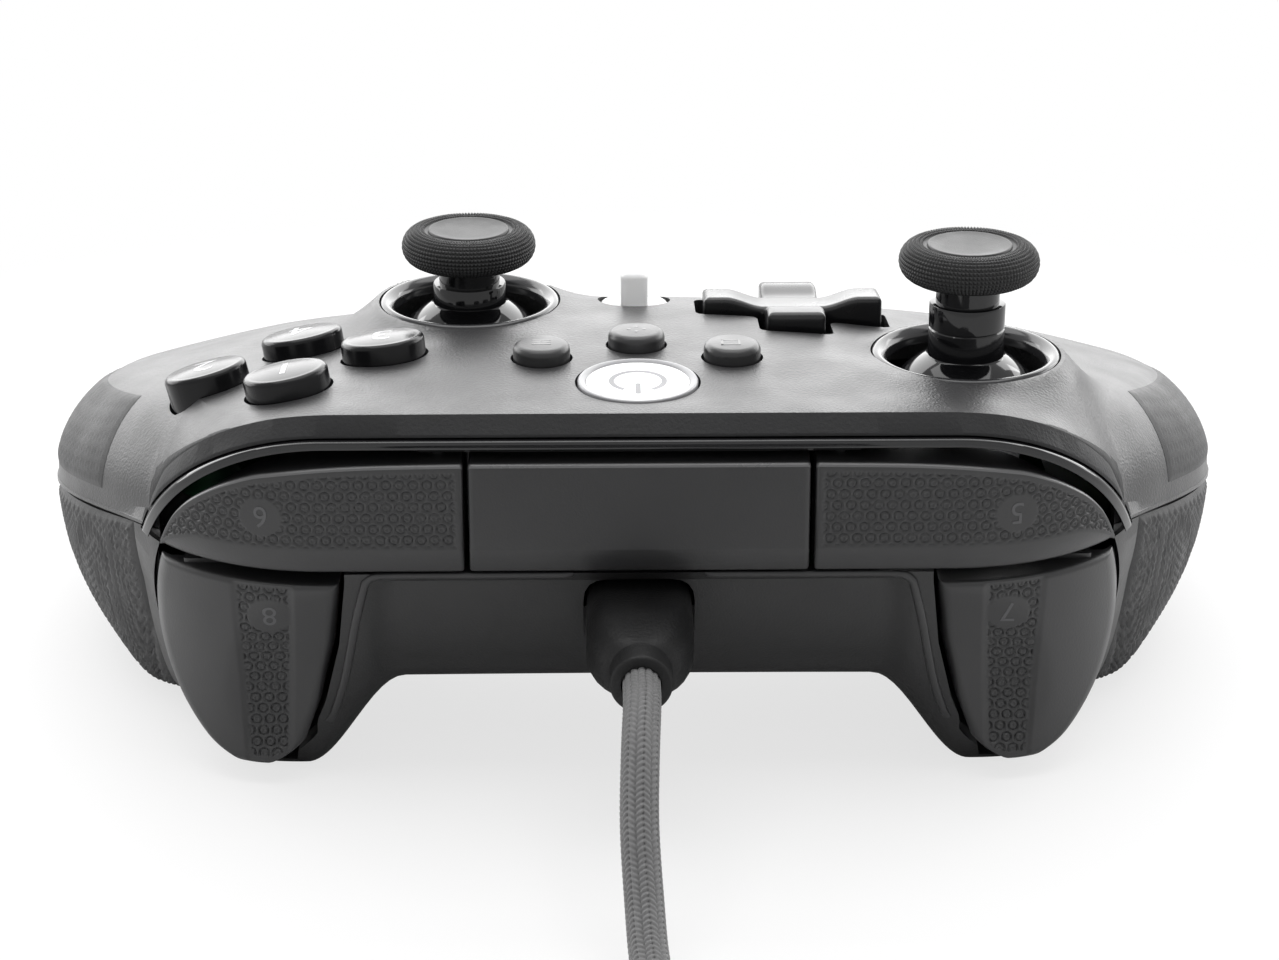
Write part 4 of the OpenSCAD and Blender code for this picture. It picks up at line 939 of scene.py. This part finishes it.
def arch_strip():
    """Gloss strip that follows the arch just behind the edge of the shell."""
    line = [(25.4, 2.15), (25.4, 0.8), (25.32, 0.62), (25.15, 0.55), (24.4, 0.62), (24.3, 0.8), (24.3, 2.15)]
    a0 = asin((BUMPER_Z - 0.2 - CORNER_Z)/24)
    stations = [(FRONT_FLAT, a) for a in np.linspace(a0, pi/2, 60)]
    stations += [(x, pi/2) for x in np.linspace(FRONT_FLAT, -FRONT_FLAT, 41)[1:-1]]
    stations += [(-FRONT_FLAT, a) for a in np.linspace(pi/2, pi - a0, 60)]
    rings = []
    for x0, a in stations:
        ring = []
        for r, inset in line:
            x = x0 + r*cos(a)
            t = max(0, abs(x) - FRONT_FLAT)
            ring.append((x, at(CORNER_R - sqrt((CORNER_R - inset)**2 - t*t)), CORNER_Z + r*sin(a)))
        rings.append(ring)
    return loft(rings)


piece("arch_strip", arch_strip(), "housing", GLOSS, sharp=40)
polish(piece("front_panel", panel(), "housing", FRONT, ("center_panel",), sharp=40))
for s, name, sign in ((1, "left", "5"), (-1, "right", "6")):
    polish(piece(name + "_bumper_bar", bumper(s), name + "_bumper", FRONT, (name + "_bumper",),
                 sharp=40))

    def on_bumper(x, y, h, s=s):
        u = s*BUMPER_NUMERAL[0] - x
        px, pd = front_point(np.array([u]), np.array([0.0 - h]))
        return (px[0], at(pd[0]), BUMPER_NUMERAL[1] - y)

    piece(name + "_bumper_numeral", inlay(glyph(sign, 2.7), on_bumper, 0.2), name + "_bumper",
          DIM_SIGN)


def trigger_depth(x, z):
    """Depth of the finger face: the front curve, hollowed lengthwise, with a flared lower lip."""
    t = np.maximum(0, np.abs(x) - FRONT_FLAT)
    base = CORNER_R - np.sqrt(np.maximum(0.01, 27.2**2 - np.minimum(t, 27)**2))
    hollow = 4 - TRIGGER_HOLLOW + np.sqrt(np.maximum(1, TRIGGER_HOLLOW**2 - (z - 13)**2))
    k = 0.5
    return (base + hollow + np.sqrt((base - hollow)**2 + k*k))/2


TRIGGER_NUMERAL = (44.7, 22.8, 2.6, 2.3)


def trigger(s):
    zs = runs((TRIGGER_LOW + 0.02, TRIGGER_LOW + 1.2, 10), (TRIGGER_LOW + 1.2, TRIGGER_TOP - 0.9, 150),
              (TRIGGER_TOP - 0.9, TRIGGER_TOP - 0.03, 8))
    q = np.concatenate([1 - np.cos(np.linspace(0, pi/2, 8, endpoint=False)), [1.0]])
    rows, backs = [], []
    for z in zs:
        xi, xo = trigger_line(z, -0.03)
        turn = FOOT_R*(1 - sqrt(1 - max(0, 1 - (z - TRIGGER_LOW)/FOOT_R)**2))
        xi, xo = xi + turn, xo - turn
        w = xo - xi
        e = min(1.3, 0.3*w)
        x = np.concatenate([xi + e*q, np.linspace(xi + e, xo - e, 130)[1:-1], (xo - e*q)[::-1]])
        d = trigger_depth(x, z) + 0.03
        rim = np.minimum(np.minimum(x - xi, xo - x)/e,
                         np.minimum((z - TRIGGER_LOW)/1.2, (TRIGGER_TOP - z)/0.9))
        rim = np.clip(rim, 0, 1)
        d = d + 1.25*(1 - np.sqrt(np.maximum(0, 1 - (1 - rim)**2)))
        inner, outer = mix(41.2, 42.4, (TRIGGER_TOP - z)/25), mix(49.6, 48.6, (TRIGGER_TOP - z)/25)
        strip = soft((x - inner)/0.9)*soft((outer - x)/0.9)*soft((rim - 0.3)/0.5)
        d = d + 0.3*strip
        clear = soft((np.hypot((x - TRIGGER_NUMERAL[0])/TRIGGER_NUMERAL[2],
                               (z - TRIGGER_NUMERAL[1])/TRIGGER_NUMERAL[3]) - 1)/0.12)
        inside = soft((x - inner - 0.8)/0.3)*soft((outer - 0.8 - x)/0.3)*soft((rim - 0.9)/0.1)
        d = d + 0.24*inside*clear*pips(x, np.full(len(x), z))
        rows.append(spot(s*x, d, z))
        back = np.interp(z, [TRIGGER_LOW, 9, 40], [6, TRIGGER_BACK, TRIGGER_BACK])
        backs.append(spot(s*x, np.maximum(back, d + 0.6), z))
    block = sheet_solid(np.array(rows), np.array(backs))
    sleeve = washer([(1.7, -9), (2.6, -9), (2.65, -8.9), (2.65, 8.9), (2.6, 9), (1.7, 9)], 40)
    sleeve = shifted(moved(sleeve, np.array(Matrix.Rotation(pi/2, 4, "Y"))), s*PIN_X, at(PIN_D), PIN_Z)
    tab = prism(soft_box(18, 2.5, 0.6, 5, (s*PIN_X, at(TRIGGER_BACK - 1.25))),
                TRIGGER_TOP - 3, TRIGGER_TOP + 0.5)
    return joined(block, sleeve, tab)


for s, name, sign in ((1, "left", "7"), (-1, "right", "8")):
    piece(name + "_trigger_pull", trigger(s), name + "_trigger", FRONT, (name + "_trigger",),
          sharp=40)

    def on_trigger(x, y, h, s=s):
        px, pz = s*TRIGGER_NUMERAL[0] - x, TRIGGER_NUMERAL[1] - y
        return (px, at(float(trigger_depth(np.array(abs(px)), np.array(pz))) + 0.3 - h), pz)

    piece(name + "_trigger_numeral", inlay(glyph(sign, 2.7), on_trigger, 0.15), name + "_trigger",
          DIM_SIGN)


# Sticks: knurled cap with a dished top, gloss neck and dome, ring in its collar
def stick_cap(top, rows=13, around=112):
    r = CAP_DIA/2
    step = 5
    first_a, last_a = radians(112), radians(-66)
    a = np.linspace(first_a, last_a, rows*step + 1)
    rim = np.stack([r - 2.3 + 2.26*np.cos(a), top - CAP_H/2 + (CAP_H/2 - 0.12)*np.sin(a)], 1)
    z = rim[0, 1]
    head = [(0, z - 0.12), (3.6, z - 0.1), (4.7, z - 0.02), (4.95, z + 0.04), (5.1, z + 0.05), (5.2, z),
            (5.28, z - 0.3), (5.5, z - 0.3)]
    under = top - CAP_H + 0.02
    foot = [(rim[-1, 0] - 0.3, rim[-1, 1] - 0.12), (NECK_DIA/2 + 0.8, under + 0.04),
            (NECK_DIA/2 - 0.4, under), (0, under)]
    profile = head + [tuple(q) for q in rim] + foot
    first = len(head)

    def ripple(angle, row):
        v = (row - first)/step
        inside = (v >= 0) & (v <= rows)
        tilt = mix(first_a, last_a, np.clip(v/rows, 0, 1))
        bump = (np.abs(np.sin(pi*v))*np.abs(np.sin(around/2*angle)))**0.7
        high = np.where(inside, 0.26*(bump - 1), 0)
        return high*np.cos(tilt), high*np.sin(tilt)

    return revolve(profile, around*5, ripple)


def stick_neck(top, collar_z):
    under = top - CAP_H
    rn, ru = NECK_DIA/2 - 0.01, NECK_DIA/2 - 0.78
    a = np.linspace(radians(20), radians(64), 28)
    outer = [(DOME_R*cos(t) - 0.005, PIVOT_Z + DOME_R*sin(t)) for t in a if DOME_R*cos(t) > rn + 0.25]
    foot_z = PIVOT_Z + sqrt(DOME_R**2 - (rn + 0.2)**2)
    neck = [(rn + 0.2, foot_z), (rn + 0.04, foot_z + 0.16), (rn, foot_z + 0.4)]
    if collar_z:
        low, high = collar_z
        neck += [(rn, low - 0.16), (rn - 0.14, low), (rn, low + 0.16), (rn, high - 0.3),
                 (rn - 0.08, high - 0.08), (rn - 0.3, high), (ru, high + 0.02)]
    else:
        neck += [(rn, under - 2.7), (rn - 0.1, under - 2.55), (ru, under - 2.5)]
    neck += [(ru, under - 0.3), (ru - 0.3, under), (0, under)]
    r = DOME_R - DOME_WALL
    inner = [(0, PIVOT_Z + r)]
    inner += [(r*cos(t), PIVOT_Z + r*sin(t)) for t in np.linspace(radians(88), radians(20), 16)]
    return revolve(inner + outer + neck, 128)


ro, ri, z = RING_DIA/2, RING_BORE/2, RING_TOP
ring = washer([(ri, z - RING_H), (ro, z - RING_H), (ro, z - 0.6), (ro - 0.12, z - 0.26), (ro - 0.45, z),
               (ro - 0.7, z), (ro - 1.0, z - 0.08), (ri + 0.5, z - 0.45), (ri + 0.15, z - 0.7),
               (ri, z - 1.1)], 160)
for p, top_z, name, collar in ((LEFT_STICK, LEFT_TOP, "left", NECK_COLLAR),
                               (RIGHT_STICK, RIGHT_TOP, "right", None)):
    body = name + "_stick"
    piece(name + "_stick_cap", stood(stick_cap(top_z), p), body, CAPS, (name + "_cap",), 75)
    piece(name + "_stick_neck", stood(stick_neck(top_z, collar), p), body, GLOSS,
          (name + "_neck",), 34)
    piece(name + "_stick_ring", stood(ring, p), "housing", RING, (name + "_ring",), 40)


# Buttons on the face
def button_dome(x, y):
    q = np.hypot(x, y)/(FACE_DIA/2)
    return FACE_PROUD + 0.22 - 0.42*q*q


def face_button():
    r = FACE_DIA/2 - 0.01
    z = float(button_dome(r - 0.7, 0)) - 0.62
    rim = [(r - 0.7 + 0.7*cos(a), z + 0.66*sin(a)) for a in np.linspace(0, radians(74), 9)]
    dome = [(t, float(button_dome(t, 0))) for t in np.linspace(r - 0.72, 0.2, 16)] + [(0, FACE_PROUD + 0.22)]
    return revolve([(0, -6), (r + 0.68, -6), (r + 0.68, -5.02), (r, -5.02)] + rim + dome, 96)


def placed(m, height):
    """Point on a face piece: x to the user's right, read from the rear of the object."""
    def point(x, y, h):
        q = np.array([-x, -y, height(x, y) + 0.015 + h, 1.0])
        return tuple((m @ q)[:3])
    return point


for n, p in BUTTON_AT.items():
    m = face_frame(p)
    name = "face_button_%d" % n
    piece(name + "_dome", moved(face_button(), m), name, BUTTON, (name,), 40)
    piece(name + "_numeral", inlay(glyph(str(n), 4.6), placed(m, button_dome), 0.25), name, SIGN)


def button_foot(r):
    """Plunger and flange below the face, shared by the small buttons and the home disc."""
    return [(0, -10.38), (2.2, -10.38), (2.2, -5.2), (r + 0.78, -5.2), (r + 0.78, -4.22)]


def small_button():
    r = SMALL_DIA/2 - 0.01
    edge = [(r - 0.9 + 0.9*cos(a), 1.05 + 0.9*sin(a)) for a in np.linspace(0, pi/2, 9)]
    return revolve(button_foot(r) + [(r, -4.22)] + edge + [(r*0.5, 2.03), (0, 2.08)], 72)


def bars(*boxes):
    """Flat signs of rounded bars, each (x, y, width, height)."""
    v, f = [], []
    for x, y, w, h in boxes:
        q = soft_box(w, h, min(w, h)*0.4, 4, (x, y))
        n = len(v)
        v += [tuple(i) for i in q]
        f.append(list(range(n, n + len(q))))
    return np.array(v), f


SMALL_SIGNS = {"menu": bars(*((0, y, 2.4, 0.36) for y in (0.7, 0, -0.7))),
               "view": bars((-0.85, 0.35, 0.3, 1.9), (0.35, 1.15, 2.1, 0.3), (0.35, -0.5, 2.1, 0.3),
                            (1.25, 0.35, 0.3, 1.9)),
               "share": bars(*((x, y, 0.5, 0.5) for x, y in ((0, 0.95), (-0.95, 0), (0.95, 0), (0, -0.95))))}
for name, p in (("menu", MENU_AT), ("view", VIEW_AT), ("share", SHARE_AT)):
    m = face_frame(p)
    piece(name + "_cap", moved(small_button(), m), name + "_button", FRONT, (name + "_button",), 40)
    piece(name + "_sign", inlay(SMALL_SIGNS[name], placed(m, lambda x, y: 2.06), 0.15), name + "_button",
          GLOSS)

home = face_frame(HOME_AT)
hr, hf = HOME_DIA/2 - 0.01, HOME_DIA/2 - 1.0
disc = button_foot(hr) + [(hf - 0.01, -4.22), (hf - 0.01, 0), (hf - 0.1, 0.08), (hf*0.6, 0.1), (0, 0.1)]
piece("home_disc", moved(revolve(disc, 128), home), "home_button", WHITE, ("home_button",), 40)
rim = [(hf, -4.2), (hr, -4.2), (hr, 0.14), (hr - 0.08, 0.26), (hr - 0.25, 0.32), (hr - 0.45, 0.3),
       (hf + 0.3, 0.22), (hf + 0.12, 0.16), (hf, 0.05)]
piece("home_rim", moved(washer(rim, 128), home), "home_button", RIM, ("home_ring",), 40)
a = np.linspace(radians(122), radians(418), 60)
arc_v = np.concatenate([np.stack([r*np.cos(a), r*np.sin(a)], 1) for r in (2.9, 3.55)])
arc_f = [[i, i + 1, 61 + i, 60 + i] for i in range(59)]
bar_v, bar_f = bars((0, 2.5, 0.65, 3.4))
power = (np.concatenate([arc_v, bar_v]), arc_f + [[120 + i for i in f] for f in bar_f])
piece("home_sign", inlay(power, placed(home, lambda x, y: 0.1), 0.1), "home_button", GREY_SIGN)


# Cross pad: dished cross with rounded edges
def cross_pad():
    line = cross_outline(PAD_SPAN - 0.04, PAD_ARM - 0.04, 0.55)
    fine = []
    for a, b in zip(line, np.roll(line, -1, 0)):
        n = max(1, int(np.linalg.norm(b - a)/0.35))
        fine += [a + (b - a)*i/n for i in range(n)]
    line = np.array(fine)
    h, b = (PAD_SPAN - 0.04)/2, (PAD_ARM - 0.04)/2

    def inset(x, y):
        one = np.minimum(h - np.abs(x), b - np.abs(y))
        two = np.minimum(b - np.abs(x), h - np.abs(y))
        return np.maximum(one, two)

    def top(x, y):
        z = 48.1 + 1.3*soft((np.maximum(np.abs(x), np.abs(y)) - 3.6)/5.2) - 1.55*y/h - 0.65*(y/h)**2
        e = np.clip(inset(x, y)/0.8, 0, 1)
        return np.minimum(z, 50.25) - 0.8*(1 - np.sqrt(np.maximum(0, 1 - (1 - e)**2)))

    rings = [level(line*0.985, PAD_PIVOT + 2.65), level(line, PAD_PIVOT + 3), level(line, 46.4)]
    for t in 1 - np.concatenate([np.linspace(0, 0.075, 12), np.linspace(0.09, 0.97, 36)]):
        q = line*t
        rings.append(level(q, top(q[:, 0], q[:, 1])))
    rings[2][:, 2] = rings[3][:, 2] - 0.4
    return loft(rings)


pad_foot = revolve([(r, PAD_PIVOT + z) for r, z in (
    (0, -1.4), (2, -1.4), (2, 2.5), (9, 2.52), (9, 3.1), (0, 3.1))], 64)
piece("cross_pad_top", stood(joined(cross_pad(), pad_foot), PAD_AT), "cross_pad", PAD,
      ("cross_pad",), 40)

# Volume dial: frosted disc and upright bar with soft edges
dial_z = float(face_at(0, DIAL_AT[1]))
r = DIAL_DIA/2 - 0.01
disc = revolve([(q, dial_z - h) for q, h in (
    (0, 2.25), (1.68, 2.25), (1.68, 5.98), (r, 5.98), (r, 0.8), (r - 0.1, 0.55), (r - 0.35, 0.42),
    (1.4, 0.4), (0, 0.4))], 96)
BAR_EDGE = 0.7
bar_rows = [(0, dial_z - 0.45)]
for t in np.linspace(0, pi/2, 7):
    bar_rows.append((BAR_EDGE*(1 - cos(t)), dial_z + DIAL_BAR_H - BAR_EDGE + BAR_EDGE*sin(t)))
bar = loft([level(soft_box(3.56 - 2*q, DIAL_DIA - 1.04 - 2*q, 0.9, 6), z) for q, z in bar_rows])
piece("volume_knob", stood(joined(disc, bar), DIAL_AT), "volume_dial", CLEAR, ("volume_dial",), 40)


# Plug: moulded body with shoulders, round nose and strain groove
PLUG_SIDES, ROUND_FROM = 48, -11.9
plug_rings = []
for d, w, h, r in ((4.9, 12.3, 9.2, 3), (4.6, 12.8, 9.6, 3.2), (-4.5, 12.85, 9.5, 3.6), (-6.5, 12.6, 9.2, 4),
                   (-8.2, 12, 8.8, 4.2), (-9.6, 11, 8.4, 4.1), (-10.8, 9.7, 8, 3.9), (-11.6, 8.6, 7.7, 3.8),
                   (-12.15, 7.5, 7.5, 5), (-12.4, 7.36, 7.36, 5), (-15.5, 7.36, 7.36, 5),
                   (-15.85, 7.1, 7.1, 5), (-15.98, 6.6, 6.6, 5)):
    turns = around(PLUG_SIDES)
    o = np.stack([w/2*np.cos(turns), h/2*np.sin(turns)], 1)
    if d > ROUND_FROM:
        q = soft_box(w, h, r, 12)
        lie = np.arctan2(q[:, 1], q[:, 0])
        o = np.array([q[np.argmin(np.abs((lie - b + pi) % (2*pi) - pi))] for b in turns])
    plug_rings.append(spot(o[:, 0], d, PLUG_Z + o[:, 1]))
plug = new_object("plug_body", loft(plug_rings))
boolean(plug, [backwards(revolve([(0, 0), (2.4, 0), (2.4, 2.9), (0, 3)], 48), NOSE, PLUG_Z)])
dress(plug, "housing", PLUG, sharp=45)
tongue = prism(soft_box(8.2, 2.3, 1.1, 8, (0, PLUG_Z)), 4.8, 11.4, "y")
piece("plug_tongue", tongue, "housing", STEEL)
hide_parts("cord_plug")


# Far end of the cord: tie round the coil and the plug
def strap():
    """Inverted U round the coil, with rounded shoulders and soft edges."""
    w = (COIL_OUT - COIL_R)/2 + CORD_R + 1.3
    h = 3*COIL_RISE + CORD_DIA + 1.3
    r = 4.0
    a = np.linspace(0, pi/2, 10)
    line = two_sided(np.concatenate([[[w, 0.02]], np.stack([w - r + r*np.cos(a), h - r + r*np.sin(a)], 1)]))
    t = np.gradient(line, axis=0)
    n = np.stack([t[:, 1], -t[:, 0]], 1)/np.linalg.norm(t, axis=1)[:, None]
    b = np.arange(24)*2*pi/24
    cy, cn = 3.95*np.sign(np.cos(b))*np.abs(np.cos(b))**0.35, 0.45*np.sign(np.sin(b))*np.abs(np.sin(b))**0.6
    rings = []
    for q, m in zip(line, n):
        rings.append(np.stack([q[0] + m[0]*cn, cy, np.maximum(0.02, q[1] + m[1]*cn)], 1))
    m = (Matrix.Translation((0, at(COIL_D), 0)) @ Matrix.Rotation(radians(150), 4, "Z")
         @ Matrix.Translation(((COIL_OUT + COIL_R)/2, 0, 0)))
    return moved(loft(rings), np.array(m))


far = route[-1]
far_turn = atan2(last[1], last[0])
far_m = np.array(Matrix.Translation(tuple(far)) @ Matrix.Rotation(far_turn, 4, "Z"))


def along_x(sections):
    """Loft of soft boxes along x: each is (x, width, low, high, corner)."""
    rings = []
    for x, w, lo, hi, r in sections:
        o = soft_box(w, hi - lo, r, 8)
        rings.append(np.stack([np.full(len(o), x), o[:, 0], (lo + hi)/2 + o[:, 1]], 1))
    return loft(rings)


fz = float(far[2])
grooves = [(0.02, 9, -4.2, 4.2, 3), (0.6, 10.2, -4.8, 4.6, 3)]
for x in (2.2, 4.2, 6.2):
    grooves += [(x, 11, -5, 4.7, 3), (x + 0.2, 10.2, -4.6, 4.3, 3), (x + 0.8, 10.2, -4.6, 4.3, 3),
                (x + 1.0, 11.2, -5, 4.75, 3)]
body = along_x(grooves + [(9, 12.6, -fz + 0.05, 4.9, 2.2), (22, 12.9, -fz + 0.03, 4.95, 2),
                          (23.4, 12.7, -fz + 0.2, 4.8, 2), (23.95, 11.8, -fz + 0.6, 4.4, 1.8)])
far_body = piece("far_plug_body", moved(body, far_m), "housing", PLUG, ("far_plug",), 40)
shell = new_object("far_plug_shell", along_x([
    (23, 11.96, -2.23, 2.23, 0.5), (35.6, 11.96, -2.23, 2.23, 0.5), (35.95, 11.7, -2.1, 2.1, 0.5)]))
boolean(shell, [along_x([(25, 11.2, -1.85, 1.85, 0.3), (37, 11.2, -1.85, 1.85, 0.3)])])
shell.data.transform(Matrix([[*far_m[i, :3], far_m[i, 3]*MM] for i in range(3)] + [[0, 0, 0, 1]]))
dress(shell, "housing", STEEL)
far_tongue = along_x([(24.5, 11, 0.1, 1.8, 0.2), (34.5, 11, 0.1, 1.8, 0.2)])
far_tongue = piece("far_plug_tongue", moved(far_tongue, far_m), "housing", PALE)
tie = piece("coil_tie", strap(), "housing", TIE, ("cord_tie",), 40)

# Nodes that keep their own shape
KEPT = {"front_frame": GLOSS, "dial_rotor": STEEL, "encoder": FRONT, "button_board": BOARD,
        "main_board": BOARD, "cord_socket": STEEL, "headset_jack": FRONT, "pad_yoke": PALE}
for end, mat in (("trigger_pin", FRONT), ("stem", PALE), ("yoke", PALE), ("base", STEEL), ("motor", STEEL),
                 ("weight", STEEL)):
    KEPT.update({"left_" + end: mat, "right_" + end: mat})
KEPT.update({"screw_%d" % n: STEEL for n in range(1, 5)})
for name, mat in KEPT.items():
    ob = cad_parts[name]
    if not ob.material_slots:
        ob.data.materials.append(mat)
    for s in ob.material_slots:
        s.material = mat

# Stage: pale floor that keeps the shadow near the object and goes to white further off
floor_ob = new_object("floor", (level(box(6000, 6000), 0), [[0, 1, 2, 3]]), False)
fmat = bpy.data.materials.new("floor")
fmat.use_nodes = True
nt = fmat.node_tree
nt.nodes.clear()
path = node(nt, "ShaderNodeLightPath", {}).outputs
where = node(nt, "ShaderNodeTexCoord", {}).outputs["Object"]
dist = node(nt, "ShaderNodeVectorMath", {0: where}, operation="LENGTH").outputs["Value"]
far_off = node(nt, "ShaderNodeMapRange", {"Value": dist, "From Min": 0.09, "From Max": 0.2},
               interpolation_type="SMOOTHSTEP").outputs["Result"]
near = node(nt, "ShaderNodeMath", {0: far_off, 1: 0.72}, operation="MAXIMUM").outputs[0]
seen = node(nt, "ShaderNodeMath", {0: near, 1: path["Is Camera Ray"]}, operation="MULTIPLY").outputs[0]
both = node(nt, "ShaderNodeMath", {0: far_off, 1: path["Is Glossy Ray"], 2: seen}, operation="MULTIPLY_ADD")
diffuse = node(nt, "ShaderNodeBsdfDiffuse", {"Color": (0.93, 0.93, 0.93, 1)}).outputs[0]
glow = node(nt, "ShaderNodeEmission", {}).outputs[0]
mixer = node(nt, "ShaderNodeMixShader", {"Fac": both.outputs[0], 1: diffuse, 2: glow}).outputs[0]
node(nt, "ShaderNodeOutputMaterial", {"Surface": mixer})
floor_ob.data.materials.append(fmat)

world = bpy.data.worlds.new("studio")
scene.world = world
world.use_nodes = True
nt = world.node_tree
nt.nodes.clear()
path = node(nt, "ShaderNodeLightPath", {}).outputs
seen = path["Is Camera Ray"]
for ray in ("Is Glossy Ray", "Is Transmission Ray"):
    seen = node(nt, "ShaderNodeMath", {0: seen, 1: path[ray]}, operation="MAXIMUM").outputs[0]
dim = node(nt, "ShaderNodeBackground", {"Strength": 0.45}).outputs[0]
bright = node(nt, "ShaderNodeBackground", {"Strength": 1.0}).outputs[0]
mixer = node(nt, "ShaderNodeMixShader", {"Fac": seen, 1: dim, 2: bright}).outputs[0]
node(nt, "ShaderNodeOutputWorld", {"Surface": mixer})


def lamp(name, place, aim, size, power):
    data = bpy.data.lights.new(name, "AREA")
    data.shape = "RECTANGLE"
    data.size, data.size_y = size
    data.energy = power
    ob = bpy.data.objects.new(name, data)
    ob.location = place
    v = np.array(aim, float) - np.array(place, float)
    ob.rotation_euler = (atan2(hypot(v[0], v[1]), -v[2]), 0, atan2(v[1], v[0]) - pi/2)
    scene.collection.objects.link(ob)


lamp("overhead", (0, 0.1, 1.1), (0, 0, 0), (1.2, 1.0), 9)
lamp("behind", (0, 1.3, 0.72), (0, 0, 0.03), (2.6, 1.4), 40)
lamp("left_side", (-1.6, 0.95, 0.55), (0, 0, 0.03), (1.2, 1.0), 14)
lamp("right_side", (1.6, 0.95, 0.55), (0, 0, 0.03), (1.2, 1.0), 14)
